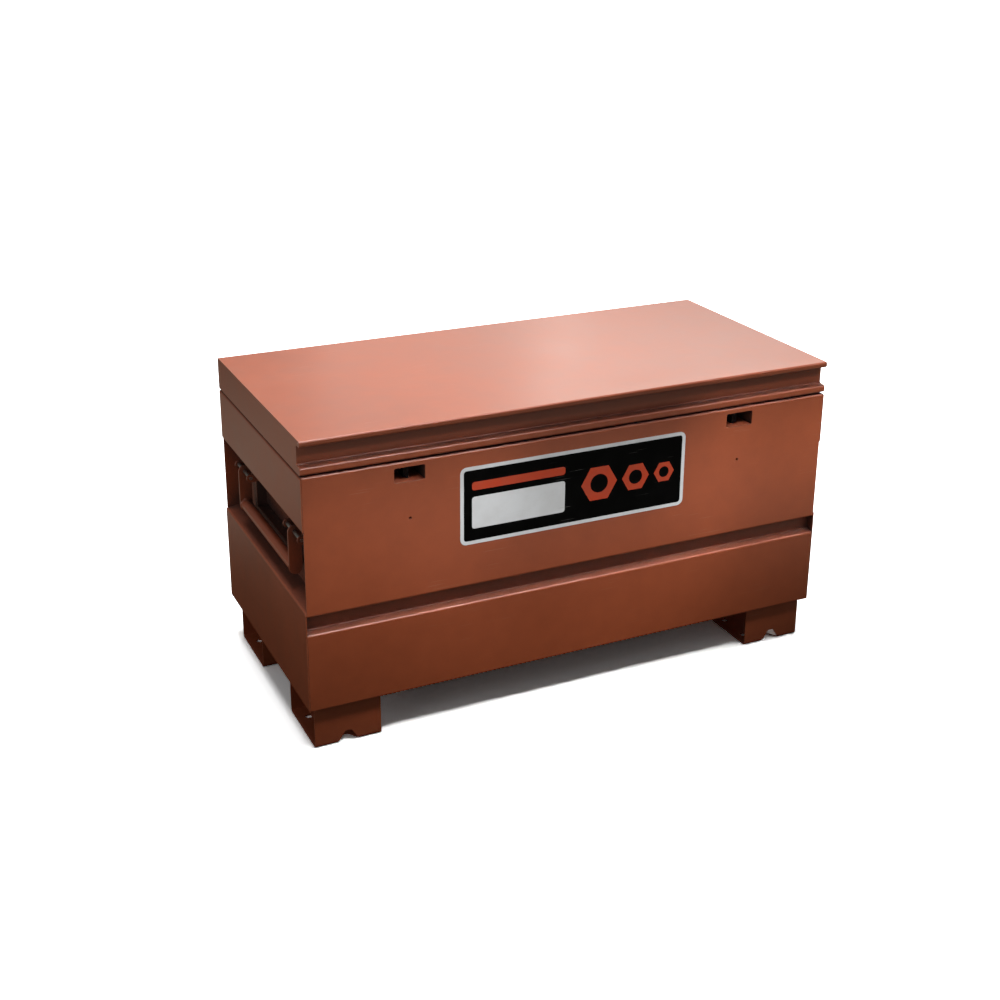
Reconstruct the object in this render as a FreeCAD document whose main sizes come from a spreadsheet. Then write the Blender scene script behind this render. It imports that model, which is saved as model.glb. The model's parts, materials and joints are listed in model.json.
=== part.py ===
import FreeCAD
import Part
import math
import os
import re
import Sketcher

# Jobsite storage box: a folded steel chest with a hinged lid, two recessed locks, two drop handles
# and four channel feet with holes for casters. Millimetres and degrees.
# Frame: +X to the right, front towards -Y, +Z up, origin on the floor under the middle of the box.

SIZES = {
    # chest shell
    "box_width": 1219.2,
    "body_depth": 578,
    "body_height": 509,
    "sheet_metal": 2,
    "bend_inside": 2.5,
    "front_flange": 54,
    "rear_flange": 34,
    "foot_flange": 32,
    "floor_clearance": 0.5,
    "corner_seam": 0.5,
    # groove pressed along the front
    "groove_base": 172,
    "groove_height": 40,
    "groove_depth": 19,
    "groove_fall": 5,
    # handle recess in each end
    "lower_height": 223,
    "band_height": 115,
    "recess_depth": 40,
    "ledge_fall": 6,
    "end_flange": 30,
    "pocket_width": 332,
    "pocket_height": 75,
    "pocket_depth": 20,
    "pocket_rise": 48,
    "pocket_corner": 8,
    # feet
    "foot_height": 94,
    "foot_length": 144,
    "foot_depth": 162,
    "foot_plate": 3,
    "foot_bend_inside": 3,
    "foot_end_inset": 14,
    "front_foot_inset": 15,
    "rear_foot_inset": 36,
    "caster_spacing_along": 93,
    "caster_spacing_across": 80,
    "caster_hole_radius": 7.2,
    "notch_width": 47,
    "notch_top_width": 13,
    "notch_height": 25.5,
    "notch_corner": 4,
    # lid
    "lid_gap": 4,
    "bead_height": 15,
    "bead_flange": 15,
    "cove_height": 43,
    "cove_depth": 18,
    "cove_fall": 3,
    "lip_height": 12.5,
    "lip_overhang": 2,
    "lid_end_flange": 24,
    "rib_spacing": 250,
    "rib_width": 50,
    "rib_depth": 22,
    "rib_flange": 15,
    "rib_clearance": 1,
    "bumper_radius": 4.5,
    "bumper_setback": 9.5,
    "bumper_clearance": 0.3,
    "inner_bumper_offset": 130,
    "outer_bumper_inset": 79.6,
    # continuous hinge
    "barrel_diameter": 10,
    "hinge_leaf": 2,
    "hinge_leaf_height": 30,
    "hinge_end_inset": 30,
    "hinge_pin_radius": 2.6,
    "hinge_clearance": 0.2,
    "knuckle_clearance": 0.6,
    "knuckle_count": 14,
    # locks
    "lock_offset": 386,
    "lock_width": 66,
    "lock_height": 32,
    "lock_drop": 11.5,
    "lock_depth": 56,
    "lock_corner": 4,
    "lock_plate": 5,
    "lock_plate_gap": 1.5,
    "tongue_width": 24,
    "tongue_foot_clearance": 3,
    "tongue_head_drop": 6,
    "staple_head_clearance": 3,
    "slot_side_clearance": 2,
    "slot_swing_clearance": 4,
    "shackle_hole_radius": 6.5,
    "port_drop": 121,
    "port_radius": 3,
    # drop handles
    "handle_inset": 4,
    "handle_span": 360,
    "handle_drop": 79,
    "grip_rise": 49,
    "tube_diameter": 25,
    "tube_wall": 2.5,
    "arm_thickness": 5,
    "arm_width": 28,
    "handle_pin_radius": 4,
    "handle_pin_length": 96,
    "handle_clearance": 0.35,
    "lug_thickness": 4,
    "lug_radius": 9,
    # lid stays
    "lid_opening": 95,
    "stay_radius": 200,
    "stay_rise": 8,
    "stay_drop": 42,
    "stay_standoff": 28,
    "stay_thickness": 3,
    "stay_width": 26,
    "stay_side_gap": 0.6,
    "stay_pin_radius": 4,
    "stay_pin_head_radius": 8,
    "stay_pin_head": 2.5,
    "stay_pin_clearance": 0.4,
    "stay_slot_spare": 1,
    "stay_slot_clearance": 0.5,
    "stud_radius": 5,
    "stud_collar_radius": 9,
    "stud_head_radius": 10,
    "stud_head": 3,
    "bracket_plate": 3,
    "bracket_width": 44,
    "bracket_flange": 24,
    "bracket_foot": 15,
    # label plate
    "label_width": 528,
    "label_height": 170,
    "label_rise": 305,
    "label_shift": 14,
    "label_thickness": 0.5,
    "label_corner": 14,
    # how far a cutting shape runs past what it cuts
    "overrun": 1,
}

WORKED_OUT = {
    "half_width": "box_width / 2",
    "inner_half": "half_width - sheet_metal",
    "bend_outside": "bend_inside + sheet_metal",
    "floor_gap": "bend_outside + floor_clearance",
    "front_y": "lip_overhang - (lip_overhang + body_depth + barrel_diameter) / 2",
    "rear_y": "front_y + body_depth",
    "middle_y": "(front_y + rear_y) / 2",
    "body_top": "foot_height + body_height",
    "groove_floor": "foot_height + groove_base",
    "groove_roof": "groove_floor + groove_height",
    "ledge_z": "foot_height + lower_height",
    "band_foot": "body_top - band_height",
    "recess_face": "half_width - recess_depth",
    "recess_back": "recess_face - sheet_metal",
    "pocket_foot": "ledge_z + pocket_rise",
    "lid_foot": "body_top + lid_gap",
    "bead_top": "lid_foot + bead_height",
    "lip_foot": "bead_top + cove_height",
    "lid_top": "lip_foot + lip_height",
    "lid_ceiling": "lid_top - sheet_metal",
    "cove_y": "front_y + cove_depth",
    "cove_back": "cove_y + sheet_metal",
    "foot_bend_outside": "foot_bend_inside + foot_plate",
    "barrel_radius": "barrel_diameter / 2",
    "hinge_y": "rear_y + barrel_radius",
    "hinge_z": "body_top + lid_gap / 2",
    "hinge_length": "box_width - 2 * hinge_end_inset",
    "hinge_bore": "hinge_pin_radius + hinge_clearance",
    "knuckle_pitch": "hinge_length / (2 * knuckle_count)",
    "knuckle_length": "knuckle_pitch - knuckle_clearance",
    "leaf_stand_off": "barrel_radius + knuckle_clearance",
    "leaf_wrap": "sqrt(barrel_radius ^ 2 - (barrel_radius - hinge_leaf) ^ 2)",
    "lock_roof": "body_top - lock_drop",
    "lock_floor": "lock_roof - lock_height",
    "lock_back": "front_y + sheet_metal + lock_depth",
    "tongue_back": "cove_back + tongue_width",
    "shackle_y": "cove_back + tongue_width / 2",
    "shackle_z": "lock_floor + lock_height / 2",
    "handle_x": "half_width - handle_inset - arm_width / 2",
    "grip_z": "ledge_z + grip_rise",
    "handle_z": "grip_z + handle_drop",
    "arm_reach": "handle_span / 2 - arm_thickness / 2",
    "stay_outer": "recess_back - stay_standoff",
    "stay_inner": "stay_outer - stay_thickness",
    "stay_pivot_y": "hinge_y - stay_radius * cos(stay_rise)",
    "stay_pivot_z": "hinge_z + stay_radius * sin(stay_rise)",
    "stud_y": "hinge_y - stay_radius * cos(stay_drop)",
    "stud_z": "hinge_z - stay_radius * sin(stay_drop)",
    "stay_near": "2 * stay_radius * sin((stay_rise + stay_drop) / 2)",
    "stay_far": "2 * stay_radius * sin((stay_rise + stay_drop + lid_opening) / 2)",
    "bracket_inner": "stay_outer + stay_side_gap",
    "bracket_outer": "bracket_inner + bracket_plate",
}

CLOSE_ENOUGH = 1e-4
LEFT, RIGHT = "left", "right"
SIDES = (LEFT, RIGHT)
AXES = {"YZ": ("y", "z"), "XZ": ("x", "z"), "XY": ("x", "y")}
NORMALS = {"YZ": "x", "XZ": "y", "XY": "z"}
TURNS = {
    "X": FreeCAD.Rotation(FreeCAD.Vector(0, 1, 0), 90),
    "Y": FreeCAD.Rotation(FreeCAD.Vector(1, 0, 0), -90),
}

doc = FreeCAD.newDocument("jobsite_storage_box")
sheet = doc.addObject("Spreadsheet::Sheet", "Sizes")
nodes = []


def fill_sheet():
    """Write the driving sizes as plain numbers, then the places that follow from them."""
    row = 0
    for name, value in SIZES.items():
        row += 1
        sheet.set(f"A{row}", name)
        sheet.set(f"B{row}", str(value))
        sheet.setAlias(f"B{row}", name)
    for name, text in WORKED_OUT.items():
        row += 1
        sheet.set(f"A{row}", name)
        sheet.set(f"B{row}", f"={text}")
        sheet.setAlias(f"B{row}", name)
    doc.recompute()


def formula(text):
    """Point every size named in a formula at its cell."""
    def cell(match):
        word = match.group()
        return f"Sizes.{word}" if word in SIZES or word in WORKED_OUT else word
    return re.sub(r"[a-z_]+", cell, text)


def number(text):
    return float(sheet.evalExpression(formula(text)))


def bind(thing, name, text):
    thing.setExpression(name, formula(text))


def place(thing, **bases):
    for axis, text in bases.items():
        bind(thing, f"Placement.Base.{axis}", text)


def on_side(side, low, high):
    """A stretch of X given for the right end, mirrored for the left one."""
    return (low, high) if side == RIGHT else (f"-({high})", f"-({low})")


def signed(side, text):
    return text if side == RIGHT else f"-({text})"


def keep(thing, label):
    thing.Label = label
    nodes.append(thing)
    return thing


# Plain solids and booleans

def block(name, x, y, z):
    """A box between a low and a high formula on each axis."""
    box = doc.addObject("Part::Box", name)
    for size, axis, (low, high) in (("Length", "x", x), ("Width", "y", y), ("Height", "z", z)):
        bind(box, size, f"({high}) - ({low})")
        place(box, **{axis: low})
    return box


def rod(name, axis, span, radius, **centre):
    """A round bar along X or Y, from one end of its span to the other."""
    bar = doc.addObject("Part::Cylinder", name)
    bar.Placement = FreeCAD.Placement(FreeCAD.Vector(), TURNS[axis])
    low, high = span
    bind(bar, "Radius", radius)
    bind(bar, "Height", f"({high}) - ({low})")
    place(bar, **{axis.lower(): low}, **centre)
    return bar


def post(name, span, radius, x, y):
    """An upright round bar."""
    bar = doc.addObject("Part::Cylinder", name)
    low, high = span
    bind(bar, "Radius", radius)
    bind(bar, "Height", f"({high}) - ({low})")
    place(bar, x=x, y=y, z=low)
    return bar


def fuse(name, pieces):
    joined = doc.addObject("Part::MultiFuse", name)
    joined.Shapes = pieces
    joined.Refine = True
    return joined


def cut(name, base, tools):
    """Take the tools out of the base, and stop if one of them misses it."""
    taken = doc.addObject("Part::Cut", name)
    taken.Base = base
    taken.Tool = fuse(f"{name}_tools", tools) if len(tools) > 1 else tools[0]
    doc.recompute()
    for tool in tools:
        if base.Shape.common(tool.Shape).Volume < CLOSE_ENOUGH:
            raise RuntimeError(f"{tool.Name} cuts nothing from {name}")
    return taken


def group(name, pieces):
    together = doc.addObject("Part::Compound", name)
    together.Links = pieces
    return together


# Drawn solids

def new_body(name, plane, start):
    body = doc.addObject("PartDesign::Body", name)
    place(body, **{NORMALS[plane]: start})
    return body


def new_sketch(body, plane):
    sketch = body.newObject("Sketcher::SketchObject", f"{body.Name}_sketch")
    planes = {feature.Role: feature for feature in body.Origin.OriginFeatures}
    sketch.AttachmentSupport = (planes[f"{plane}_Plane"], [""])
    sketch.MapMode = "FlatFace"
    return sketch


def pin_point(sketch, curve, point, across, up):
    """Hold one point of a drawn curve at two formulas."""
    for kind, text in (("DistanceX", across), ("DistanceY", up)):
        held = sketch.addConstraint(Sketcher.Constraint(kind, -1, 1, curve, point, number(text)))
        bind(sketch, f"Constraints[{held}]", text)


def hold_radius(sketch, curve, radius):
    held = sketch.addConstraint(Sketcher.Constraint("Radius", curve, number(radius)))
    bind(sketch, f"Constraints[{held}]", radius)


def flat(across, up):
    return FreeCAD.Vector(number(across), number(up), 0)


def draw_polygon(sketch, corners):
    first = sketch.GeometryCount
    count = len(corners)
    for index, corner in enumerate(corners):
        following = corners[(index + 1) % count]
        sketch.addGeometry(Part.LineSegment(flat(*corner), flat(*following)), False)
    for index, corner in enumerate(corners):
        following = first + (index + 1) % count
        sketch.addConstraint(Sketcher.Constraint("Coincident", first + index, 2, following, 1))
        pin_point(sketch, first + index, 1, *corner)


def draw_circle(sketch, across, up, radius):
    circle = Part.Circle(flat(across, up), FreeCAD.Vector(0, 0, 1), number(radius))
    index = sketch.addGeometry(circle, False)
    pin_point(sketch, index, 3, across, up)
    hold_radius(sketch, index, radius)


def draw_long_round(sketch, across, low, high, radius):
    """A round-ended outline that stands upright between two centres."""
    upward = FreeCAD.Vector(0, 0, 1)
    top_circle = Part.Circle(flat(across, high), upward, number(radius))
    foot_circle = Part.Circle(flat(across, low), upward, number(radius))
    near = f"({across}) - ({radius})"
    far = f"({across}) + ({radius})"
    top = sketch.addGeometry(Part.ArcOfCircle(top_circle, 0, math.pi), False)
    down = sketch.addGeometry(Part.LineSegment(flat(near, high), flat(near, low)), False)
    foot = sketch.addGeometry(Part.ArcOfCircle(foot_circle, math.pi, 2 * math.pi), False)
    back = sketch.addGeometry(Part.LineSegment(flat(far, low), flat(far, high)), False)
    for one, other in ((top, down), (down, foot), (foot, back), (back, top)):
        sketch.addConstraint(Sketcher.Constraint("Tangent", one, 2, other, 1))
    sketch.addConstraint(Sketcher.Constraint("Equal", top, foot))
    pin_point(sketch, top, 3, across, high)
    pin_point(sketch, foot, 3, across, low)
    hold_radius(sketch, top, radius)


def pad(body, sketch, plane, length):
    """Raise a sketch along the positive direction of its plane's normal."""
    feature = body.newObject("PartDesign::Pad", f"{body.Name}_pad")
    feature.Profile = sketch
    feature.Reversed = plane == "XZ"
    bind(feature, "Length", length)
    doc.recompute()
    return feature


def round_corners(body, plane, corners, radius):
    """Round the edges that stand on the given corners of a padded outline."""
    spots = [flat(*corner) for corner in corners]
    base = body.Tip
    names = []
    for index, edge in enumerate(base.Shape.Edges, 1):
        ends = [[getattr(vertex.Point, axis) for axis in AXES[plane]] for vertex in edge.Vertexes]
        for spot in spots:
            if all(math.dist(end, (spot.x, spot.y)) < CLOSE_ENOUGH for end in ends):
                names.append(f"Edge{index}")
    if len(names) != len(corners):
        raise RuntimeError(f"{body.Name} has {len(names)} of {len(corners)} corners to round")
    feature = body.newObject("PartDesign::Fillet", f"{body.Name}_round")
    feature.Base = (base, names)
    bind(feature, "Radius", radius)
    doc.recompute()


def split_corners(corners, bends):
    """Sort the bent corners of an outline into those that stand out and those that turn in."""
    spots = [flat(*corner) for corner in corners]
    count = len(spots)
    turns = []
    for index, spot in enumerate(spots):
        before = spot - spots[index - 1]
        after = spots[(index + 1) % count] - spot
        turns.append(before.x * after.y - before.y * after.x)
    area = sum(spots[i - 1].x * spots[i].y - spots[i].x * spots[i - 1].y for i in range(count))
    outward = [corners[index] for index in bends if turns[index] * area > 0]
    inward = [corners[index] for index in bends if turns[index] * area < 0]
    return outward, inward


def prism(name, plane, corners, span):
    low, high = span
    body = new_body(name, plane, low)
    sketch = new_sketch(body, plane)
    draw_polygon(sketch, corners)
    pad(body, sketch, plane, f"({high}) - ({low})")
    return body


def folded(name, plane, corners, bends, span, inside="bend_inside", outside="bend_outside"):
    """A folded sheet: its section run along a length, with round bends."""
    body = prism(name, plane, corners, span)
    outward, inward = split_corners(corners, bends)
    if outward:
        round_corners(body, plane, outward, outside)
    if inward:
        round_corners(body, plane, inward, inside)
    return body


def soft_plate(name, plane, across, up, span, corner):
    """A rectangular plate with round corners."""
    corners = [(across[0], up[0]), (across[1], up[0]), (across[1], up[1]), (across[0], up[1])]
    body = prism(name, plane, corners, span)
    round_corners(body, plane, corners, corner)
    return body


# Chest shell

def grooved_wall(edge, inward, groove, roof, floor, fall, top_flange):
    """Section of a wall sheet with a groove in it and a flange at the top and the foot.

    The outer face stands at edge, and inward is the sign that leads from there into the box.
    """
    def at(depth):
        return f"({edge}) {inward} ({depth})"
    back = f"{groove} + sheet_metal"
    outer = [
        (at(top_flange), "body_top"),
        (at("0"), "body_top"),
        (at("0"), roof),
        (at(groove), roof),
        (at(groove), f"{floor} + {fall}"),
        (at("0"), floor),
        (at("0"), "foot_height"),
        (at("foot_flange"), "foot_height"),
    ]
    inner = [
        (at("foot_flange"), "foot_height + sheet_metal"),
        (at("sheet_metal"), "foot_height + sheet_metal"),
        (at("sheet_metal"), f"{floor} - sheet_metal"),
        (at(back), f"{floor} + {fall} - sheet_metal"),
        (at(back), f"{roof} + sheet_metal"),
        (at("sheet_metal"), f"{roof} + sheet_metal"),
        (at("sheet_metal"), "body_top - sheet_metal"),
        (at(top_flange), "body_top - sheet_metal"),
    ]
    return outer + inner


def bends_of(corners):
    """The bent corners of a sheet's section: all but the four at its two cut ends."""
    half = len(corners) // 2
    return [index for index in range(len(corners)) if index % half not in (0, half - 1)]


def between_ends():
    """The front and rear panels stop a seam short of the end panels' outer plates."""
    return "corner_seam - inner_half", "inner_half - corner_seam"


def lock_middle(side):
    return signed(side, "lock_offset")


def make_front_panel():
    section = grooved_wall(
        "front_y", "+", "groove_depth", "groove_roof", "groove_floor", "groove_fall", "front_flange")
    sheet_body = folded("front_sheet", "YZ", section, bends_of(section), between_ends())
    through_wall = ("front_y - overrun", "front_y + sheet_metal + overrun")
    tools = []
    for side in SIDES:
        middle = lock_middle(side)
        across = (f"{middle} - lock_width / 2", f"{middle} + lock_width / 2")
        up = ("lock_floor", "lock_roof")
        tools.append(soft_plate(f"{side}_lock_opening", "XZ", across, up, through_wall, "lock_corner"))
        port_z = "body_top - port_drop"
        tools.append(rod(f"{side}_port", "Y", through_wall, "port_radius", x=middle, z=port_z))
        tools.append(tongue_slot(f"{side}_flange_slot", side, "body_top - sheet_metal", "body_top"))
    keep(cut("front_panel", sheet_body, tools), "front_panel")


def make_rear_panel():
    section = [
        ("rear_y - rear_flange", "body_top"),
        ("rear_y", "body_top"),
        ("rear_y", "foot_height"),
        ("rear_y - foot_flange", "foot_height"),
        ("rear_y - foot_flange", "foot_height + sheet_metal"),
        ("rear_y - sheet_metal", "foot_height + sheet_metal"),
        ("rear_y - sheet_metal", "body_top - sheet_metal"),
        ("rear_y - rear_flange", "body_top - sheet_metal"),
    ]
    keep(folded("rear_panel", "YZ", section, bends_of(section), between_ends()), "rear_panel")


def hand_opening(side, name, depth_span, spread):
    """The outline of the hand pocket, or of its outside when it is spread by a wall."""
    across = (f"middle_y - pocket_width / 2 - {spread}", f"middle_y + pocket_width / 2 + {spread}")
    up = (f"pocket_foot - {spread}", f"pocket_foot + pocket_height + {spread}")
    return soft_plate(name, "YZ", across, up, on_side(side, *depth_span), f"pocket_corner + {spread}")


def make_end_panel(side):
    inward = "-" if side == RIGHT else "+"
    edge = signed(side, "half_width")
    section = grooved_wall(
        edge, inward, "recess_depth", "band_foot", "ledge_z", "ledge_fall", "end_flange")
    sheet_body = folded(f"{side}_end_sheet", "XZ", section, bends_of(section), ("front_y", "rear_y"))
    # The sheet behind the outer face gives way to the front and rear panels and to their flanges.
    behind = on_side(side, "recess_back - end_flange", "inner_half")
    head = ("body_top - bend_outside", "body_top + overrun")
    foot = ("foot_height - overrun", "foot_height + bend_outside")
    full = ("foot_height - overrun", "body_top + overrun")
    reliefs = {
        "front_wall": ("front_y - overrun", "front_y + sheet_metal", full),
        "rear_wall": ("rear_y - sheet_metal", "rear_y + overrun", full),
        "front_head": ("front_y - overrun", "front_y + front_flange", head),
        "rear_head": ("rear_y - rear_flange", "rear_y + overrun", head),
        "front_foot": ("front_y - overrun", "front_y + foot_flange", foot),
        "rear_foot": ("rear_y - foot_flange", "rear_y + overrun", foot),
    }
    tools = []
    for name, (low, high, z) in reliefs.items():
        tools.append(block(f"{side}_{name}_relief", behind, (low, high), z))
    wall = ("recess_back - overrun", "recess_face + overrun")
    tools.append(hand_opening(side, f"{side}_hand_opening", wall, "0"))
    keep(cut(f"{side}_end_panel", sheet_body, tools), f"{side}_end_panel")


def make_hand_pocket(side):
    outside = ("recess_back - pocket_depth - sheet_metal", "recess_back")
    inside = ("recess_back - pocket_depth", "recess_back + overrun")
    shell = hand_opening(side, f"{side}_pocket_shell", outside, "sheet_metal")
    hollow = hand_opening(side, f"{side}_pocket_hollow", inside, "0")
    keep(cut(f"{side}_hand_pocket", shell, [hollow]), f"{side}_hand_pocket")


def make_floor():
    x = ("-half_width + floor_gap", "half_width - floor_gap")
    y = ("front_y + floor_gap", "rear_y - floor_gap")
    z = ("foot_height + sheet_metal", "foot_height + 2 * sheet_metal")
    keep(block("floor_panel", x, y, z), "floor_panel")


# Feet

def make_foot(row, side):
    """A channel foot, open at both ends, with a notch in its outward wall and four caster holes."""
    name = f"{row}_{side}_foot"
    low_y = "front_y + front_foot_inset" if row == "front" else "rear_y - rear_foot_inset - foot_depth"
    high_y = f"{low_y} + foot_depth"
    x = on_side(side, "half_width - foot_end_inset - foot_length", "half_width - foot_end_inset")
    section = [
        (low_y, "foot_height"),
        (low_y, "0"),
        (high_y, "0"),
        (high_y, "foot_height"),
        (f"{high_y} - foot_plate", "foot_height"),
        (f"{high_y} - foot_plate", "foot_plate"),
        (f"{low_y} + foot_plate", "foot_plate"),
        (f"{low_y} + foot_plate", "foot_height"),
    ]
    channel = folded(
        f"{name}_channel", "YZ", section, bends_of(section), x, "foot_bend_inside", "foot_bend_outside")
    middle_x = f"({x[0]}) + foot_length / 2"
    centre_y = f"{low_y} + foot_depth / 2"
    wall_y, inward = (low_y, "+") if row == "front" else (high_y, "-")
    wide_x = (f"{middle_x} - notch_width / 2", f"{middle_x} + notch_width / 2")
    slim_x = (f"{middle_x} - notch_top_width / 2", f"{middle_x} + notch_top_width / 2")
    upright = [(wide_x[0], "0"), (wide_x[1], "0"), (slim_x[1], "notch_height"), (slim_x[0], "notch_height")]
    through = [f"{wall_y} {inward} foot_bend_outside", f"{wall_y} {inward} (-overrun)"]
    if row == "front":
        through.reverse()
    wall_notch = prism(f"{name}_wall_notch", "XZ", upright, through)
    round_corners(wall_notch, "XZ", upright[2:], "notch_corner")
    deep_y = f"{wall_y} {inward} notch_height"
    lying = [(wide_x[0], wall_y), (wide_x[1], wall_y), (slim_x[1], deep_y), (slim_x[0], deep_y)]
    floor_notch = prism(f"{name}_floor_notch", "XY", lying, ("-overrun", "foot_bend_outside"))
    round_corners(floor_notch, "XY", lying[2:], "notch_corner")
    tools = [wall_notch, floor_notch]
    for along in ("-", "+"):
        for across in ("-", "+"):
            x_place = f"{middle_x} {along} caster_spacing_along / 2"
            y_place = f"{centre_y} {across} caster_spacing_across / 2"
            through_floor = ("-overrun", "foot_plate + overrun")
            tools.append(post(f"{name}_caster_hole", through_floor, "caster_hole_radius", x_place, y_place))
    keep(cut(name, channel, tools), name)


# Lid

def lid_edge():
    """The lid's outer face, from the foot of its rear wall to the end of the front bead's flange."""
    return [
        ("rear_y", "lid_foot"),
        ("rear_y", "lid_top"),
        ("front_y - lip_overhang", "lid_top"),
        ("front_y - lip_overhang", "lip_foot"),
        ("cove_y", "lip_foot"),
        ("cove_y", "bead_top + cove_fall"),
        ("front_y", "bead_top"),
        ("front_y", "lid_foot"),
        ("front_y + bead_flange", "lid_foot"),
    ]


def make_lid_skin():
    inner = [
        ("front_y + bead_flange", "lid_foot + sheet_metal"),
        ("front_y + sheet_metal", "lid_foot + sheet_metal"),
        ("front_y + sheet_metal", "bead_top - sheet_metal"),
        ("cove_back", "bead_top + cove_fall - sheet_metal"),
        ("cove_back", "lip_foot + sheet_metal"),
        ("front_y - lip_overhang + sheet_metal", "lip_foot + sheet_metal"),
        ("front_y - lip_overhang + sheet_metal", "lid_ceiling"),
        ("rear_y - sheet_metal", "lid_ceiling"),
        ("rear_y - sheet_metal", "lid_foot"),
    ]
    section = lid_edge() + inner
    keep(folded("lid_skin", "YZ", section, bends_of(section), ("-inner_half", "inner_half")), "lid_skin")


def make_lid_end(side):
    """A plate cut to the lid's outline, with a flange turned in along its foot."""
    outline = lid_edge()[:-1]
    plate_x = on_side(side, "inner_half", "half_width")
    plate = folded(f"{side}_lid_plate", "YZ", outline, range(1, len(outline)), plate_x)
    flange_x = on_side(side, "inner_half - lid_end_flange", "inner_half")
    flange_y = ("cove_back", "rear_y - sheet_metal")
    flange = block(f"{side}_lid_flange", flange_x, flange_y, ("lid_foot", "lid_foot + sheet_metal"))
    keep(fuse(f"{side}_lid_end", [plate, flange]), f"{side}_lid_end")


def make_lid_rib(name, middle):
    """A hat-section stiffener from front to rear under the lid's skin."""
    web = "rib_width / 2"
    brim = f"{web} + rib_flange"
    hollow = f"{web} - sheet_metal"
    top = "lid_ceiling"
    under_brim = f"{top} - sheet_metal"
    crown = f"{top} - rib_depth"
    inside_crown = f"{crown} + sheet_metal"
    half = [(brim, under_brim), (web, under_brim), (web, crown)]
    lower = [(f"{middle} + {x}", z) for x, z in half]
    lower += [(f"{middle} - ({x})", z) for x, z in reversed(half)]
    half = [(brim, top), (hollow, top), (hollow, inside_crown)]
    upper = [(f"{middle} - ({x})", z) for x, z in half]
    upper += [(f"{middle} + {x}", z) for x, z in reversed(half)]
    section = lower + upper
    span = ("cove_back + rib_clearance", "rear_y - bend_outside - rib_clearance")
    keep(folded(name, "XZ", section, bends_of(section), span), name)


def make_bumpers():
    """Rubber stops on the chest's rim, just under the closed lid."""
    span = ("body_top", "lid_foot - bumper_clearance")
    front = "front_y + bumper_setback"
    rim = "half_width - bumper_setback"
    spots = []
    for side in SIDES:
        spots.append((signed(side, "inner_bumper_offset"), front))
        spots.append((signed(side, "half_width - outer_bumper_inset"), front))
        spots.append((signed(side, rim), "middle_y"))
    stops = [post("lid_bumper", span, "bumper_radius", x, y) for x, y in spots]
    keep(group("lid_bumpers", stops), "lid_bumpers")


# Continuous hinge

def make_hinge_leaf(name, up, shift):
    """A leaf with a row of knuckles: up is the sign that leads from the pin to the leaf's plate."""
    body = new_body(name, "YZ", "-hinge_length / 2")
    near = f"hinge_z {up} leaf_stand_off"
    far = f"{near} {up} hinge_leaf_height"
    leaf_face = "rear_y + hinge_leaf"
    plate = new_sketch(body, "YZ")
    draw_polygon(plate, [("rear_y", near), (leaf_face, near), (leaf_face, far), ("rear_y", far)])
    pad(body, plate, "YZ", "hinge_length")

    ring = new_sketch(body, "YZ")
    bind(ring, "AttachmentOffset.Base.z", f"{shift} + knuckle_clearance / 2")
    wrap_z = f"hinge_z {up} leaf_wrap"
    path = [(leaf_face, wrap_z), (leaf_face, near), ("rear_y", near), ("rear_y", "hinge_z")]
    for start, end in zip(path, path[1:]):
        ring.addGeometry(Part.LineSegment(flat(*start), flat(*end)), False)
    # The barrel's arc is drawn anticlockwise, so the leaf's side decides which end of it meets the plate.
    opposite = flat("hinge_y + barrel_radius", "hinge_z")
    rear_end, plate_end = (1, 2) if up == "+" else (2, 1)
    ends = {rear_end: path[-1], plate_end: path[0]}
    ring.addGeometry(Part.Arc(flat(*ends[1]), opposite, flat(*ends[2])), False)
    arc = len(path) - 1
    for index, corner in enumerate(path[:-1]):
        pin_point(ring, index, 1, *corner)
    pin_point(ring, arc - 1, 2, *path[-1])
    for index in range(arc - 1):
        ring.addConstraint(Sketcher.Constraint("Coincident", index, 2, index + 1, 1))
    ring.addConstraint(Sketcher.Constraint("Coincident", arc - 1, 2, arc, rear_end))
    ring.addConstraint(Sketcher.Constraint("Coincident", 0, 1, arc, plate_end))
    hold_radius(ring, arc, "barrel_radius")
    draw_circle(ring, "hinge_y", "hinge_z", "hinge_bore")
    knuckle = pad(body, ring, "YZ", "knuckle_length")

    row = body.newObject("PartDesign::LinearPattern", f"{name}_row")
    row.Originals = [knuckle]
    row.Direction = (ring, ["N_Axis"])
    bind(row, "Occurrences", "knuckle_count")
    bind(row, "Length", "2 * knuckle_pitch * (knuckle_count - 1)")
    body.Tip = row
    doc.recompute()
    keep(body, name)


def make_hinge():
    make_hinge_leaf("hinge_body_leaf", "-", "0")
    make_hinge_leaf("hinge_lid_leaf", "+", "knuckle_pitch")
    span = ("-hinge_length / 2", "hinge_length / 2")
    keep(rod("hinge_pin", "X", span, "hinge_pin_radius", y="hinge_y", z="hinge_z"), "hinge_pin")


# Locks

def tongue_x(side):
    """The hasp tongue stands on the outer side of the lock's middle, the staple on the inner side."""
    return on_side(side, "lock_offset + lock_plate_gap / 2", "lock_offset + lock_plate_gap / 2 + lock_plate")


def tongue_slot(name, side, low, high):
    x_low, x_high = tongue_x(side)
    x = (f"{x_low} - slot_side_clearance", f"{x_high} + slot_side_clearance")
    y = ("cove_back - slot_swing_clearance", "tongue_back + slot_swing_clearance")
    return block(name, x, y, (f"{low} - overrun", f"{high} + overrun"))


def shackle_hole(name, span):
    low, high = span
    past = (f"{low} - overrun", f"{high} + overrun")
    return rod(name, "X", past, "shackle_hole_radius", y="shackle_y", z="shackle_z")


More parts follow.
